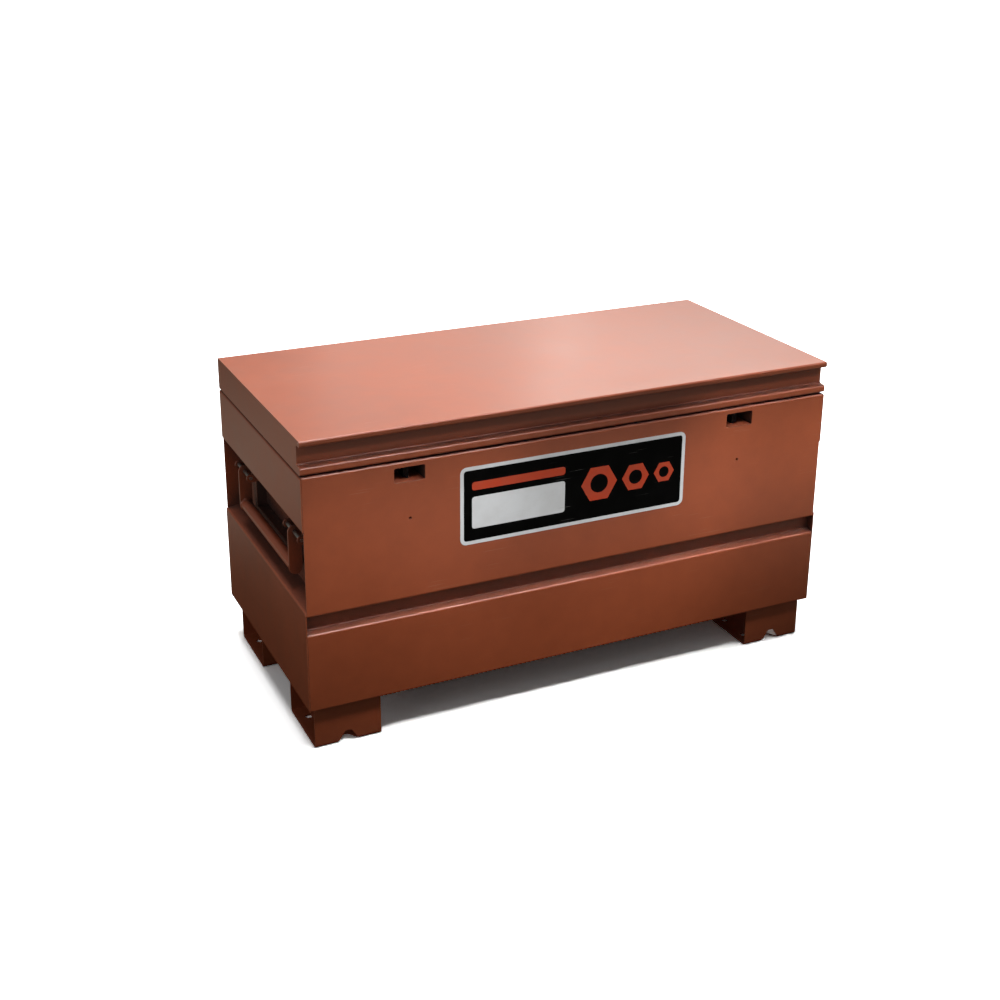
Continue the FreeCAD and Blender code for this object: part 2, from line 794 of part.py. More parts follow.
def make_lock(side):
    middle = lock_middle(side)
    wall_back = "front_y + sheet_metal"
    half = "lock_width / 2"
    shell = block(
        f"{side}_lock_shell",
        (f"{middle} - {half} - sheet_metal", f"{middle} + {half} + sheet_metal"),
        (wall_back, "lock_back + sheet_metal"),
        ("lock_floor - sheet_metal", "lock_roof + sheet_metal"))
    hollow = block(
        f"{side}_lock_hollow",
        (f"{middle} - {half}", f"{middle} + {half}"),
        (f"{wall_back} - overrun", "lock_back"),
        ("lock_floor", "lock_roof"))
    slot = tongue_slot(f"{side}_housing_slot", side, "lock_roof", "lock_roof + sheet_metal")
    keep(cut(f"{side}_lock_housing", shell, [hollow, slot]), f"{side}_lock_housing")

    plate_y = ("cove_back", "tongue_back")
    x = tongue_x(side)
    tongue_z = ("lock_floor + tongue_foot_clearance", "lip_foot - tongue_head_drop")
    tongue = block(f"{side}_tongue_plate", x, plate_y, tongue_z)
    hole = shackle_hole(f"{side}_tongue_hole", x)
    keep(cut(f"{side}_hasp_tongue", tongue, [hole]), f"{side}_hasp_tongue")

    x = on_side(side, "lock_offset - lock_plate_gap / 2 - lock_plate", "lock_offset - lock_plate_gap / 2")
    staple = block(f"{side}_staple_plate", x, plate_y, ("lock_floor", "lock_roof - staple_head_clearance"))
    hole = shackle_hole(f"{side}_staple_hole", x)
    keep(cut(f"{side}_lock_staple", staple, [hole]), f"{side}_lock_staple")


# Drop handles

def make_handle(side):
    x = signed(side, "handle_x")
    arms = []
    pins = []
    lugs = []
    for end in ("-", "+"):
        word = "front" if end == "-" else "rear"
        arm_y = f"middle_y {end} arm_reach"
        body = new_body(f"{side}_{word}_arm", "XZ", f"{arm_y} - arm_thickness / 2")
        sketch = new_sketch(body, "XZ")
        draw_long_round(sketch, x, "grip_z", "handle_z", "arm_width / 2")
        draw_circle(sketch, x, "handle_z", "handle_pin_radius + handle_clearance")
        pad(body, sketch, "XZ", "arm_thickness")
        arms.append(body)
        pin_span = (f"{arm_y} - handle_pin_length / 2", f"{arm_y} + handle_pin_length / 2")
        pins.append(rod(f"{side}_{word}_pin", "Y", pin_span, "handle_pin_radius", x=x, z="handle_z"))
        for span in (
                (pin_span[0], f"{pin_span[0]} + lug_thickness"),
                (f"{pin_span[1]} - lug_thickness", pin_span[1])):
            lugs.append(make_lug(f"{side}_{word}_lug", side, span))
    keep(group(f"{side}_handle_arms", arms), f"{side}_handle_arms")
    keep(group(f"{side}_handle_pins", pins), f"{side}_handle_pins")
    keep(group(f"{side}_handle_lugs", lugs), f"{side}_handle_lugs")

    grip_span = ("middle_y - handle_span / 2 + arm_thickness", "middle_y + handle_span / 2 - arm_thickness")
    bore_span = (f"{grip_span[0]} - overrun", f"{grip_span[1]} + overrun")
    outside = rod(f"{side}_grip", "Y", grip_span, "tube_diameter / 2", x=x, z="grip_z")
    bore = rod(f"{side}_grip_bore", "Y", bore_span, "tube_diameter / 2 - tube_wall", x=x, z="grip_z")
    keep(cut(f"{side}_handle_tube", outside, [bore]), f"{side}_handle_tube")


def make_lug(name, side, span):
    """A round-ended plate that stands out from the recess wall and holds one end of a handle pin."""
    x = signed(side, "handle_x")
    web_z = ("handle_z - lug_radius", "handle_z + lug_radius")
    web = block(f"{name}_web", on_side(side, "recess_face", "handle_x"), span, web_z)
    nose = rod(f"{name}_nose", "Y", span, "lug_radius", x=x, z="handle_z")
    past = (f"{span[0]} - overrun", f"{span[1]} + overrun")
    hole = rod(f"{name}_hole", "Y", past, "handle_pin_radius", x=x, z="handle_z")
    return cut(name, fuse(f"{name}_plate", [web, nose]), [hole])


# Lid stays

def make_stay(side):
    """A slotted bar, pivoted on the lid, that slides on a fixed stud.

    Pivot and stud lie equally far from the hinge, so the bar turns by exactly half the lid's angle.
    """
    x = on_side(side, "stay_inner", "stay_outer")
    body = doc.addObject("PartDesign::Body", f"{side}_stay")
    body.Placement = FreeCAD.Placement(FreeCAD.Vector(), FreeCAD.Rotation(FreeCAD.Vector(1, 0, 0), 90))
    place(body, x=x[0], y="stay_pivot_y", z="stay_pivot_z")
    bind(body, "Placement.Rotation.Angle", "(stay_drop - stay_rise) / 2")
    sketch = new_sketch(body, "YZ")
    slot_foot = "-(stay_far + stay_slot_spare)"
    draw_long_round(sketch, "0", slot_foot, "0", "stay_width / 2")
    draw_circle(sketch, "0", "0", "stay_pin_radius + stay_pin_clearance")
    slot_head = "-(stay_near - stay_slot_spare)"
    draw_long_round(sketch, "0", slot_foot, slot_head, "stud_radius + stay_slot_clearance")
    pad(body, sketch, "YZ", "stay_thickness")
    keep(body, f"{side}_stay")

    pin_foot = "stay_inner - stay_side_gap"
    shank = rod(
        f"{side}_stay_shank", "X", on_side(side, pin_foot, "bracket_outer"), "stay_pin_radius",
        y="stay_pivot_y", z="stay_pivot_z")
    head_x = on_side(side, f"{pin_foot} - stay_pin_head", pin_foot)
    head = rod(f"{side}_stay_head", "X", head_x, "stay_pin_head_radius", y="stay_pivot_y", z="stay_pivot_z")
    keep(fuse(f"{side}_stay_pin", [shank, head]), f"{side}_stay_pin")

    steps = (
        ("collar", "stay_outer + stay_side_gap", "recess_back", "stud_collar_radius"),
        ("neck", pin_foot, "stay_outer + stay_side_gap", "stud_radius"),
        ("head", f"{pin_foot} - stud_head", pin_foot, "stud_head_radius"),
    )
    stack = [
        rod(f"{side}_stud_{name}", "X", on_side(side, low, high), radius, y="stud_y", z="stud_z")
        for name, low, high, radius in steps]
    keep(fuse(f"{side}_stay_stud", stack), f"{side}_stay_stud")


def make_stay_bracket(side):
    """An angle under the lid's skin that carries a stay's pivot."""
    inner = signed(side, "bracket_inner")
    outer = signed(side, "bracket_outer")
    tip = signed(side, "bracket_outer + bracket_flange")
    foot = "stay_pivot_z - bracket_foot"
    section = [
        (inner, foot),
        (inner, "lid_ceiling"),
        (tip, "lid_ceiling"),
        (tip, "lid_ceiling - bracket_plate"),
        (outer, "lid_ceiling - bracket_plate"),
        (outer, foot),
    ]
    span = ("stay_pivot_y - bracket_width / 2", "stay_pivot_y + bracket_width / 2")
    outside = "bend_inside + bracket_plate"
    angle = folded(f"{side}_bracket_angle", "XZ", section, bends_of(section), span, outside=outside)
    past = on_side(side, "bracket_inner - overrun", "bracket_outer + overrun")
    hole = rod(f"{side}_bracket_hole", "X", past, "stay_pin_radius", y="stay_pivot_y", z="stay_pivot_z")
    keep(cut(f"{side}_stay_bracket", angle, [hole]), f"{side}_stay_bracket")


def make_label():
    across = ("-label_shift - label_width / 2", "-label_shift + label_width / 2")
    up = ("foot_height + label_rise", "foot_height + label_rise + label_height")
    span = ("front_y - label_thickness", "front_y")
    keep(soft_plate("front_label", "XZ", across, up, span, "label_corner"), "front_label")


def check_and_write():
    """Stop at anything that failed to build, then write one file for each node."""
    doc.recompute()
    for thing in doc.Objects:
        if {"Invalid", "Error"} & set(thing.State):
            raise RuntimeError(f"{thing.Name} did not build: {thing.State}")
    for thing in nodes:
        if thing.Shape.isNull() or not thing.Shape.isValid() or not thing.Shape.Solids:
            raise RuntimeError(f"{thing.Label} has no sound shape")
    os.makedirs("parts", exist_ok=True)
    for thing in nodes:
        thing.Shape.exportStep(f"parts/{thing.Label}.step")
        print(thing.Label, len(thing.Shape.Solids), "solids", round(thing.Shape.Volume), "cubic mm")


fill_sheet()
make_front_panel()
make_rear_panel()
make_floor()
make_lid_skin()
make_hinge()
make_bumpers()
make_label()
for column in SIDES:
    make_end_panel(column)
    make_hand_pocket(column)
    make_lid_end(column)
    make_lock(column)
    make_handle(column)
    make_stay(column)
    make_stay_bracket(column)
    for line in ("front", "rear"):
        make_foot(line, column)
make_lid_rib("left_lid_rib", "-rib_spacing")
make_lid_rib("middle_lid_rib", "0")
make_lid_rib("right_lid_rib", "rib_spacing")
check_and_write()
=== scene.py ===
"""Looks of a jobsite storage box: paint, plating, print, welds, studio light and camera.

Metres and degrees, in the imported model's own frame: +X to the right, the front towards -Y, +Z up,
and the origin on the floor under the middle of the box.
"""

import json
import logging
import math
import random
from dataclasses import dataclass
from enum import Enum, IntEnum
from functools import cache, reduce

import bmesh
import bpy
from mathutils import Matrix, Vector


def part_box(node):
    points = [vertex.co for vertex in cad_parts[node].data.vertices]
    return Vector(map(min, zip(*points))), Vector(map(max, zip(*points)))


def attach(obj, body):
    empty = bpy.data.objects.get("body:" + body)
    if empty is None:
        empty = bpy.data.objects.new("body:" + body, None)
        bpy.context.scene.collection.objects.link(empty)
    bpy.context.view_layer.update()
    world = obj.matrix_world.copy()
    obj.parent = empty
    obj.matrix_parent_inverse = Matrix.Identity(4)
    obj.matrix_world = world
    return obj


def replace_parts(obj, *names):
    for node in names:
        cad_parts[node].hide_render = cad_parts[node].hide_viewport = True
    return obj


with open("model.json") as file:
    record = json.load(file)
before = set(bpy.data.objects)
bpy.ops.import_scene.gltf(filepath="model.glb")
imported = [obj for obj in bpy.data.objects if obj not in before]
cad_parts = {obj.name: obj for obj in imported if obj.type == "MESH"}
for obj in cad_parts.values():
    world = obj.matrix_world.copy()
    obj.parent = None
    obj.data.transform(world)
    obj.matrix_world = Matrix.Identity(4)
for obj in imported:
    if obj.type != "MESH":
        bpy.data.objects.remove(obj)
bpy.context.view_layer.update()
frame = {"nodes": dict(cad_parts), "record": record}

log = logging.getLogger("storage_box")

Colour = tuple[float, float, float, float]
Place = tuple[float, float, float]
Flat = tuple[float, float]
Socket = bpy.types.NodeSocket
Sockets = bpy.types.bpy_prop_collection
Given = float | tuple[float, ...] | Socket


class Slot(Enum):
    """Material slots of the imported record."""

    SHELL = "shell_paint"
    FOOT = "foot_paint"
    HANDLE = "handle_paint"
    ZINC = "zinc_plate"
    STEEL = "plain_steel"
    PRINT = "label_print"
    RUBBER = "black_rubber"


class Body(Enum):
    """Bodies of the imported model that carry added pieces."""

    CHEST = "chest"
    LID = "lid"
    LEFT_HANDLE = "left_handle"
    RIGHT_HANDLE = "right_handle"


class Side(Enum):
    """The two ends of the box, with the sign of X on each."""

    LEFT = -1
    RIGHT = 1

    @property
    def word(self) -> str:
        """The side's name as the nodes spell it."""
        return self.name.lower()

    @property
    def inward(self) -> Vector:
        """The direction that leads from this end into the box."""
        return Vector((-self.value, 0, 0))

    @property
    def other(self) -> "Side":
        """The opposite end."""
        return Side(-self.value)


class Axis(IntEnum):
    """The frame's axes, by their place in a vector."""

    X = 0
    Y = 1
    Z = 2

    @property
    def way(self) -> Vector:
        """The axis's direction."""
        return Vector([float(self is axis) for axis in Axis])


class Step(Enum):
    """Sums that a math node does."""

    SUBTRACT = "SUBTRACT"
    MULTIPLY = "MULTIPLY"
    MULTIPLY_ADD = "MULTIPLY_ADD"
    LARGER = "MAXIMUM"


X_AXIS, Y_AXIS, Z_AXIS = (axis.way for axis in Axis)


# Node sheets and shared effects


class NodeSheet:
    """Lays nodes in one shader tree and joins their sockets."""

    def __init__(self, tree: bpy.types.NodeTree) -> None:
        """Keep the tree that the nodes go into."""
        self.tree = tree

    def feed(self, socket: Socket, value: Given) -> None:
        """Link a socket to another one, or set its value.

        Args:
            socket: the input to fill.
            value: an output to link from, or a plain value.
        """
        if isinstance(value, Socket):
            self.tree.links.new(value, socket)
        else:
            socket.default_value = value

    def add(
            self, kind: str, given: dict[str | int, Given] | None = None,
            **settings: object) -> bpy.types.Node:
        """Add a node.

        Args:
            kind: the node's type name.
            given: values or sockets for its inputs, by name or number.
            settings: the node's own properties.

        Returns:
            The new node.
        """
        node = self.tree.nodes.new(kind)
        for name, value in settings.items():
            setattr(node, name, value)
        for name, value in (given or {}).items():
            self.feed(node.inputs[name], value)
        return node

    def sums(self, step: Step, *terms: Given) -> Socket:
        """The result of one sum on values or sockets, taken in order."""
        return self.add("ShaderNodeMath", dict(enumerate(terms)), operation=step.value).outputs[0]

    def times(self, *factors: Given) -> Socket:
        """The product of values or sockets."""
        return reduce(lambda product, factor: self.sums(Step.MULTIPLY, product, factor), factors)

    def plus(self, base: Given, value: Socket, share: Given) -> Socket:
        """A base with a share of a value added to it."""
        return self.sums(Step.MULTIPLY_ADD, value, share, base)

    def rest(self, value: Socket) -> Socket:
        """What is missing from a value to 1."""
        return self.sums(Step.SUBTRACT, 1.0, value)

    def span(
            self, value: Socket, low: Given, high: Given,
            to_low: Given = 0.0, to_high: Given = 1.0) -> Socket:
        """A value whose range from low to high is stretched to another range, with soft ends."""
        given = {"Value": value, 1: low, 2: high, 3: to_low, 4: to_high}
        return self.add("ShaderNodeMapRange", given, interpolation_type="SMOOTHSTEP").outputs[0]

    def tint(self, share: Given, first: Given, second: Given) -> Socket:
        """Two colours mixed, from the first at a share of 0 to the second at 1."""
        return self.add("ShaderNodeMix", {0: share, 6: first, 7: second}, data_type="RGBA").outputs[2]

    def noise(self, place: Socket, scale: Given, detail: float = 2, roughness: float = 0.5) -> Socket:
        """Cloudy noise from 0 to 1, with so many clouds to a metre and so many finer layers."""
        given = {"Vector": place, "Scale": scale, "Detail": detail, "Roughness": roughness}
        return self.add("ShaderNodeTexNoise", given).outputs[0]

    def clouds(self, place: Socket, scale: Given, layers: Flat, band: Flat) -> Socket:
        """Noise with its middle band stretched to the full range."""
        return self.span(self.noise(place, scale, *layers), *band)

    def bump(self, height: Socket, normal: Socket) -> Socket:
        """The normal of a height in metres that is laid on another normal."""
        given = {"Strength": 1.0, "Distance": 1.0, "Height": height, "Normal": normal}
        return self.add("ShaderNodeBump", given).outputs[0]

    def place(self) -> Socket:
        """The point on the piece, in metres."""
        return self.add("ShaderNodeTexCoord").outputs["Object"]

    def normal(self) -> Socket:
        """The face's own normal."""
        return self.add("ShaderNodeNewGeometry").outputs["Normal"]

    def rise(self, vector: Socket) -> Socket:
        """The Z of a point or direction."""
        return self.add("ShaderNodeSeparateXYZ", {0: vector}).outputs["Z"]

    def effect(self, effect: "SurfaceEffect", **given: Given) -> Socket:
        """The output of a shared effect, with low lines for spaces in its inputs' names."""
        named = {name.replace("_", " "): value for name, value in given.items()}
        return self.add("ShaderNodeGroup", named, node_tree=effect.group()).outputs[effect.output]


class SurfaceEffect:
    """An effect that several finishes share: one shader node group, built once."""

    name: str = ""
    inputs: dict[str, Given] = {}
    output: str = ""
    vector_out: bool = False

    def group(self) -> bpy.types.NodeTree:
        """The effect's node group, built at its first use."""
        return bpy.data.node_groups.get(self.name) or self.build()

    def build(self) -> bpy.types.NodeTree:
        """Make the node group with its named sockets.

        Returns:
            The new group.
        """
        tree = bpy.data.node_groups.new(self.name, "ShaderNodeTree")
        for name, value in self.inputs.items():
            kind = "NodeSocketVector" if isinstance(value, tuple) else "NodeSocketFloat"
            tree.interface.new_socket(name, in_out="INPUT", socket_type=kind).default_value = value
        kind = "NodeSocketVector" if self.vector_out else "NodeSocketFloat"
        tree.interface.new_socket(self.output, in_out="OUTPUT", socket_type=kind)
        sheet = NodeSheet(tree)
        given = sheet.add("NodeGroupInput").outputs
        sheet.add("NodeGroupOutput", {self.output: self.draw(sheet, given)})
        return tree

    def draw(self, sheet: NodeSheet, given: Sockets) -> Socket:
        """Lay the effect's nodes.

        Args:
            sheet: where they go.
            given: the group's inputs.

        Returns:
            The socket that the group puts out.
        """
        raise NotImplementedError


class PaintTone(SurfaceEffect):
    """Uneven depth of a sprayed coat: wide clouds, hand-wide patches and fine grain."""

    name = "paint_tone"
    inputs = {"Clouds": 2.6, "Patches": 24.0, "Grain": 650.0}
    output = "Tone"
    cloud_layers, cloud_band, cloud_share = (3, 0.55), (0.3, 0.7), 0.5
    patch_layers, patch_band, patch_share = (4, 0.6), (0.25, 0.75), 0.28
    grain_share = 0.22

    def draw(self, sheet: NodeSheet, given: Sockets) -> Socket:
        """Add the three layers, weighted so that the clouds lead.

        Args:
            sheet: where the nodes go.
            given: the group's inputs.

        Returns:
            The tone.
        """
        place = sheet.place()
        clouds = sheet.clouds(place, given["Clouds"], self.cloud_layers, self.cloud_band)
        patches = sheet.clouds(place, given["Patches"], self.patch_layers, self.patch_band)
        tone = sheet.plus(sheet.times(clouds, self.cloud_share), patches, self.patch_share)
        return sheet.plus(tone, sheet.noise(place, given["Grain"], 1), self.grain_share)


class PaintSkin(SurfaceEffect):
    """Height of a baked coat in metres: orange peel on sheet that is never quite flat."""

    name = "paint_skin"
    inputs = {"Peel Scale": 330.0, "Peel Height": 0.00003, "Wave Scale": 3.2, "Wave Height": 0.0008}
    output = "Height"
    peel_layers = (2, 0.45)

    def draw(self, sheet: NodeSheet, given: Sockets) -> Socket:
        """Add the peel to the slow waves of the sheet.

        Args:
            sheet: where the nodes go.
            given: the group's inputs.

        Returns:
            The height.
        """
        place = sheet.place()
        peel = sheet.noise(place, given["Peel Scale"], *self.peel_layers)
        wave = sheet.noise(place, given["Wave Scale"], 1)
        return sheet.plus(sheet.times(peel, given["Peel Height"]), wave, given["Wave Height"])


class SoftEdge(SurfaceEffect):
    """Normal of a surface whose cut edges are broken by a small radius."""

    name = "soft_edge"
    inputs = {"Radius": 0.0008}
    output = "Normal"
    vector_out = True

    def draw(self, sheet: NodeSheet, given: Sockets) -> Socket:
        """Round the normals near an edge."""
        return sheet.add("ShaderNodeBevel", {"Radius": given["Radius"]}, samples=4).outputs["Normal"]


class EdgeWear(SurfaceEffect):
    """Mask along the edges where the finish is rubbed through, laid evenly enough to serve as a painted
    highlight line on the edges.
    """

    name = "edge_wear"
    inputs = {"Soft Normal": (0.0, 0.0, 1.0), "Chips": 90.0, "Amount": 0.5}
    output = "Wear"
    turn_band = (0.01, 0.16)
    chip_layers, chip_band = (4, 0.65), (0.28, 0.60)

    def draw(self, sheet: NodeSheet, given: Sockets) -> Socket:
        """Find where the softened normal turns away, and break the line up.

        Args:
            sheet: where the nodes go.
            given: the group's inputs.

        Returns:
            The mask.
        """
        normals = {0: sheet.normal(), 1: given["Soft Normal"]}
        alike = sheet.add("ShaderNodeVectorMath", normals, operation="DOT_PRODUCT").outputs["Value"]
        turned = sheet.span(sheet.rest(alike), *self.turn_band)
        chips = sheet.clouds(sheet.place(), given["Chips"], self.chip_layers, self.chip_band)
        return sheet.times(turned, chips, given["Amount"])


class CreviceGrime(SurfaceEffect):
    """Mask of painted shade, with some dirt, in corners, seams and recesses, and of dirt splashes low
    above the floor.
    """

    name = "crevice_grime"
    inputs = {"Reach": 0.065, "Ledge Share": 1.0, "Splash Height": 0.10, "Amount": 0.5}
    output = "Grime"
    corner_band, ledge_band = (0.15, 0.58), (0.5, 0.95)
    splash = 0.5
    patch_scale, patch_layers = 38.0, (4, 0.6)
    patch_band, patch_range = (0.3, 0.7), (0.9, 1.0)

    def draw(self, sheet: NodeSheet, given: Sockets) -> Socket:
        """Join the corners to the splashes and let both run out unevenly.

        Args:
            sheet: where the nodes go.
            given: the group's inputs.

        Returns:
            The mask.
        """
        near = {"Distance": given["Reach"]}
        # The occlusion term darkens wherever nearby surfaces close in: painted shade in corners, seams
        # and recesses.
        open_share = sheet.add("ShaderNodeAmbientOcclusion", near, samples=4).outputs["AO"]
        corner = sheet.span(sheet.rest(open_share), *self.corner_band)
        ledge = sheet.span(
            sheet.rise(sheet.normal()), *self.ledge_band, 1.0, given["Ledge Share"])
        place = sheet.place()
        splash = sheet.span(sheet.rise(place), given["Splash Height"], 0.0, 0.0, self.splash)
        shaded_and_dirty = sheet.sums(Step.LARGER, sheet.times(corner, ledge), splash)
        patches = sheet.noise(place, self.patch_scale, *self.patch_layers)
        return sheet.times(
            shaded_and_dirty, sheet.span(patches, *self.patch_band, *self.patch_range), given["Amount"])


class SettledDust(SurfaceEffect):
    """Mask of dust on faces that look up."""

    name = "settled_dust"
    inputs = {"Clouds": 7.0, "Amount": 0.2}
    output = "Dust"
    upward_band = (0.75, 1.0)
    drift_layers, drift_band = (5, 0.62), (0.4, 0.72)

    def draw(self, sheet: NodeSheet, given: Sockets) -> Socket:
        """Keep the upward faces and lay the dust on them in drifts.

        Args:
            sheet: where the nodes go.
            given: the group's inputs.

        Returns:
            The mask.
        """
        upward = sheet.span(sheet.rise(sheet.normal()), *self.upward_band)
        drifts = sheet.clouds(sheet.place(), given["Clouds"], self.drift_layers, self.drift_band)
        return sheet.times(upward, drifts, given["Amount"])


class FineScratches(SurfaceEffect):
    """Mask of short scratches that handling leaves, in two leanings."""

    name = "fine_scratches"
    inputs = {"Spread": 6.0, "Amount": 0.3}
    output = "Scratch"
    leanings = ((0.35, 0.5, 0.3), (-0.6, 0.2, 1.25))
    stretch = (9.0, 420.0, 420.0)
    streak_band, patch_band = (0.71, 0.76), (0.5, 0.64)

    def draw(self, sheet: NodeSheet, given: Sockets) -> Socket:
        """Stretch noise into streaks, keep the peaks and break them into short marks.

        Args:
            sheet: where the nodes go.
            given: the group's inputs.

        Returns:
            The mask.
        """
        place = sheet.place()
        marks = []
        for lean in self.leanings:
            laid = {"Vector": place, "Rotation": lean, "Scale": self.stretch}
            streak = sheet.noise(sheet.add("ShaderNodeMapping", laid).outputs[0], 1.0, 1)
            marks.append(sheet.span(streak, *self.streak_band))
        kept = sheet.span(sheet.noise(place, given["Spread"], 3), *self.patch_band)
        return sheet.times(sheet.sums(Step.LARGER, *marks), kept, given["Amount"])


PAINT_TONE = PaintTone()
PAINT_SKIN = PaintSkin()
SOFT_EDGE = SoftEdge()
EDGE_WEAR_AND_HIGHLIGHT = EdgeWear()
CREVICE_GRIME_AND_SHADE = CreviceGrime()
SETTLED_DUST = SettledDust()
FINE_SCRATCHES = FineScratches()


# Finishes


def shade(colour: Colour, factor: float) -> Colour:
    """A colour with its three parts multiplied by a factor."""
    red, green, blue, alpha = colour
    return red * factor, green * factor, blue * factor, alpha


class Finish:
    """What every finish has: a name and a material made from nodes."""

    name: str

    def material(self) -> bpy.types.Material:
        """Make the material and feed its shader with what the finish lays.

        Returns:
            The material.
        """
        material = bpy.data.materials.new(self.name)
        material.use_nodes = True
        sheet = NodeSheet(material.node_tree)
        shader = material.node_tree.nodes["Principled BSDF"]
        for name, value in self.lay(sheet).items():
            sheet.feed(shader.inputs[name], value)
        return material

    def lay(self, sheet: NodeSheet) -> dict[str, Given]:
        """Lay the finish's nodes.

        Args:
            sheet: where they go.

        Returns:
            What goes into the shader's inputs, by name.
        """
        raise NotImplementedError


@dataclass(frozen=True)
class PowderCoat(Finish):
    """Satin powder coat on folded steel."""

    name: str
    colour: Colour
    tone_share: float = 0.16
    roughness: float = 0.37
    roughness_spread: float = 0.09
    peel_height: float = 0.00003
    wave_height: float = 0.00025
    edge_radius: float = 0.0007
    wear: float = 0.55
    wear_depth: float = 0.00006
    wear_end: Flat = (0.06, 0.36)
    # Amount and reach of the crevice mask: painted shade with some dirt in corners, seams and recesses.
    grime: float = 0.86
    grime_reach: float = 0.065
    ledge_grime: float = 1.0
    grime_roughness: float = 0.55
    specular: float = 0.9
    dust: float = 0.04
    dust_roughness: float = 0.8
    scratches: float = 0.16
    coat: float = 0.12
    coat_roughness: float = 0.22
    # Pale pink of rubbed-through edges and scratches, also the colour of the painted edge highlights.
    primer: Colour = (0.62, 0.38, 0.30, 1.0)
    # Dark saturated brown that the crevice mask lays: painted shade in corners, recesses and on the
    # groove's ledge, with some dirt.
    dirt: Colour = (0.036, 0.015, 0.010, 1.0)
    dust_colour: Colour = (0.52, 0.46, 0.40, 1.0)

    def lay(self, sheet: NodeSheet) -> dict[str, Given]:
        """Lay colour, roughness and height: edge wear with painted edge highlights where the crevice
        mask leaves them, dust, then painted shade with some dirt on top.

        Args:
            sheet: where the nodes go.

        Returns:
            What goes into the shader's inputs, by name.
        """
        tone = sheet.effect(PAINT_TONE)
        soft = sheet.effect(SOFT_EDGE, Radius=self.edge_radius)
        # Painted shade with some dirt in corners, seams and recesses, mixed towards the dark brown
        # below.
        grime = sheet.effect(
            CREVICE_GRIME_AND_SHADE, Reach=self.grime_reach, Ledge_Share=self.ledge_grime, Amount=self.grime)
        wear = sheet.times(
            sheet.effect(EDGE_WEAR_AND_HIGHLIGHT, Soft_Normal=soft, Amount=self.wear),
            sheet.span(grime, *self.wear_end, 1.0, 0.0))
        scratch = sheet.effect(FINE_SCRATCHES, Amount=self.scratches)
        dust = sheet.effect(SETTLED_DUST, Amount=self.dust)
        colour = sheet.tint(
            tone, shade(self.colour, 1 - self.tone_share), shade(self.colour, 1 + self.tone_share))
        # Edges turn towards the pale primer: rubbed-through wear and a painted highlight along the
        # edges.
        colour = sheet.tint(sheet.sums(Step.LARGER, wear, scratch), colour, self.primer)
        colour = sheet.tint(dust, colour, self.dust_colour)
        rough = sheet.plus(self.roughness - self.roughness_spread / 2, tone, self.roughness_spread)
        rough = sheet.plus(rough, dust, self.dust_roughness)
        height = sheet.effect(PAINT_SKIN, Peel_Height=self.peel_height, Wave_Height=self.wave_height)
        height = sheet.plus(height, wear, -self.wear_depth)
        return {
            "Base Color": sheet.tint(grime, colour, self.dirt),
            "Roughness": sheet.plus(rough, grime, self.grime_roughness),
            "Normal": sheet.bump(height, soft),
            "Specular IOR Level": self.specular,
            "Coat Weight": self.coat,
            "Coat Roughness": self.coat_roughness,
        }


@dataclass(frozen=True)
class PlatedSteel(Finish):
    """Zinc plate or plain steel: metal with drawn lines, spangle and tarnish."""

    name: str
    colour: Colour
    tarnish: Colour
    roughness: float = 0.34
    polish: float = 0.06
    roughness_spread: float = 0.2
    line_scale: Place = (1100.0, 1100.0, 40.0)
    line_height: float = 0.000012
    line_roughness: float = 0.1
    edge_radius: float = 0.0004
    spangle: float = 140.0
    spangle_share: float = 0.3
    stain_scale: float = 55.0
    stain_layers: Flat = (4, 0.6)
    stain_band: Flat = (0.35, 0.7)
    stain_share: float = 0.55
    grime: float = 0.6
    grime_reach: float = 0.006
    grime_depth: float = 0.18
    grime_roughness: float = 0.4
    grime_end: float = 0.9
    grimy_metal: float = 0.35

    def lay(self, sheet: NodeSheet) -> dict[str, Given]:
        """Lay the spangle, the drawn lines and the dirt in the corners.

        Args:
            sheet: where the nodes go.

        Returns:
            What goes into the shader's inputs, by name.
        """
        place = sheet.place()
        cells = sheet.add("ShaderNodeTexVoronoi", {"Vector": place, "Scale": self.spangle})
        facet = sheet.add("ShaderNodeSeparateColor", {0: cells.outputs["Color"]}).outputs[0]
        drawn = sheet.add("ShaderNodeMapping", {"Vector": place, "Scale": self.line_scale})
        lines = sheet.noise(drawn.outputs[0], 1.0)
        clouds = sheet.clouds(place, self.stain_scale, self.stain_layers, self.stain_band)
        stain = sheet.plus(sheet.times(clouds, self.stain_share), facet, self.spangle_share)
        # Painted shade with some dirt in the tight corners, darkened towards the tarnish.
        grime = sheet.effect(CREVICE_GRIME_AND_SHADE, Reach=self.grime_reach, Amount=self.grime)
        colour = sheet.tint(stain, self.colour, self.tarnish)
        rough = sheet.plus(self.roughness - self.polish, stain, self.roughness_spread)
        rough = sheet.plus(rough, lines, self.line_roughness)
        soft = sheet.effect(SOFT_EDGE, Radius=self.edge_radius)
        return {
            "Base Color": sheet.tint(grime, colour, shade(self.tarnish, self.grime_depth)),
            "Roughness": sheet.plus(rough, grime, self.grime_roughness),
            "Metallic": sheet.span(grime, 0.0, self.grime_end, 1.0, self.grimy_metal),
            "Normal": sheet.bump(sheet.times(lines, self.line_height), soft),
        }


